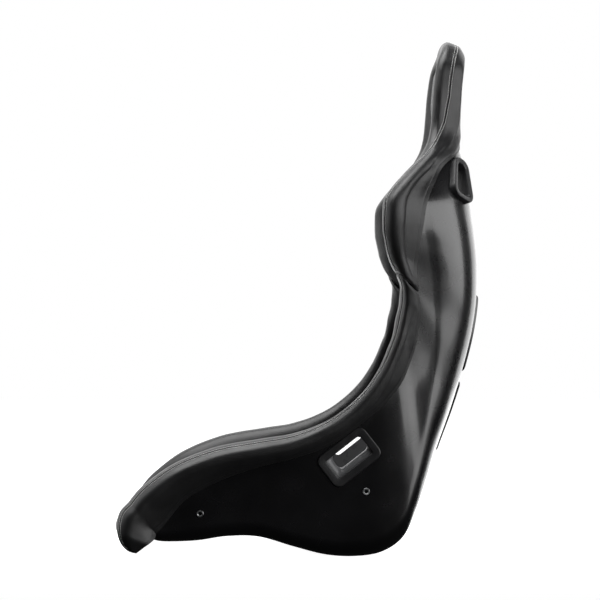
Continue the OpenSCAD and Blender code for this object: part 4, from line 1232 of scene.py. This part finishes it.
EDGE_MIN = 9.0
high = across + low_side[:, None] + up * (
    EDGE_MIN + np.maximum(thick - EDGE_MIN, 1) * crown(s) - 3)
cushion = slab("seat_cushion", high, across + low_side[:, None] + 0.2 * up, smooth_angle=180)
hole = rounded_outline(CROTCH_L + 2 * CROTCH_RIM + 4, CROTCH_H + 2 * CROTCH_RIM + 4, 14)
cut_holes(cushion, [loft("crotch_cut", [hole, hole], [-90, 20], frame_at(CROTCH_U, 0))])
inflated(cushion, 5.0, 5.0)
finish_cushion(cushion, ("seat_cushion_cover", "seat_cushion_foam"))

fastener_nap = felt_material("fastener_nap", (0.006, 0.006, 0.006), 2400.0)
for node in ("seat_hook_strips", "back_hook_strips", "head_hook_strips"):
    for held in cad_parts[node].material_slots:
        held.material = fastener_nap

# --- Floor, lights and camera -----------------------------------------------------------------
# A plain white floor, a bright sweep and a glow behind the far side, broad soft lights behind
# the back, overhead and in front, and nothing bright facing the flat side walls.
floor_mesh = bpy.data.meshes.new("floor")
floor_mesh.from_pydata([(-7, -6, 0), (0.75, -6, 0), (0.75, 6, 0), (-7, 6, 0)], [], [(0, 1, 2, 3)])
floor = bpy.data.objects.new("floor", floor_mesh)
bpy.context.scene.collection.objects.link(floor)
floor_paint, tree, shader = new_material("floor_paint", (0.8, 0.8, 0.8), 0.9)
shader.inputs["Emission Color"].default_value = (1, 1, 1, 1)
shader.inputs["Emission Strength"].default_value = 1.0
floor.data.materials.append(floor_paint)
floor.visible_glossy = False
floor.visible_diffuse = False
floor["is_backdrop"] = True

world = bpy.data.worlds.new("studio")
world.use_nodes = True
bpy.context.scene.world = world
sky = world.node_tree
path = sky.nodes.new("ShaderNodeLightPath")
seen = sky.nodes["Background"]
seen.inputs["Color"].default_value = (0.012, 0.012, 0.012, 1)
white = sky.nodes.new("ShaderNodeBackground")
white.inputs["Color"].default_value = (1, 1, 1, 1)
both = sky.nodes.new("ShaderNodeMixShader")
sky.links.new(path.outputs["Is Camera Ray"], both.inputs[0])
sky.links.new(seen.outputs[0], both.inputs[1])
sky.links.new(white.outputs[0], both.inputs[2])
sky.links.new(both.outputs[0], sky.nodes["World Output"].inputs["Surface"])


def soft_light(name, at, towards, width, height, radiance):
    """A rectangular soft box of an even brightness."""
    data = bpy.data.lights.new(name, "AREA")
    data.shape = "RECTANGLE"
    data.size, data.size_y = width, height
    data.energy = radiance * math.pi * width * height
    lamp = bpy.data.objects.new(name, data)
    lamp.location = at
    lamp.rotation_euler = (Vector(towards) - Vector(at)).to_track_quat("-Z", "Y").to_euler()
    bpy.context.scene.collection.objects.link(lamp)
    return lamp


soft_light("back_box", (1.7, 3.0, 1.0), (0, 0.3, 0.55), 5.0, 2.6, 3.0)
sweep = soft_light("white_sweep", (-2.4, 0, 1.1), (0, 0, 0.7), 7.0, 3.4, 1.7)
sweep.visible_camera = False
glow = soft_light("floor_glow", (-2.0, 0, 0.004), (-2.0, 0, 1), 2.4, 2.4, 1.2)
glow.visible_camera = False
soft_light("top_box", (0.2, -0.6, 3.0), (0, 0, 0.4), 2.6, 3.0, 5.5)
soft_light("front_box", (-0.4, -3.4, 1.4), (0, 0, 0.5), 1.8, 3.0, 2.4)

CAMERA_X, CAMERA_Y, CAMERA_Z, LENS = 4.8, 0.0069, 0.4458, 159.4
lens = bpy.data.cameras.new("camera")
lens.lens = LENS
lens.sensor_width = 36
camera = bpy.data.objects.new("camera", lens)
camera.location = (CAMERA_X, CAMERA_Y, CAMERA_Z)
camera.rotation_euler = (math.pi / 2, 0, math.pi / 2)
bpy.context.scene.collection.objects.link(camera)
bpy.context.scene.camera = camera
bpy.context.scene.view_settings.view_transform = "Standard"

low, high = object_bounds()
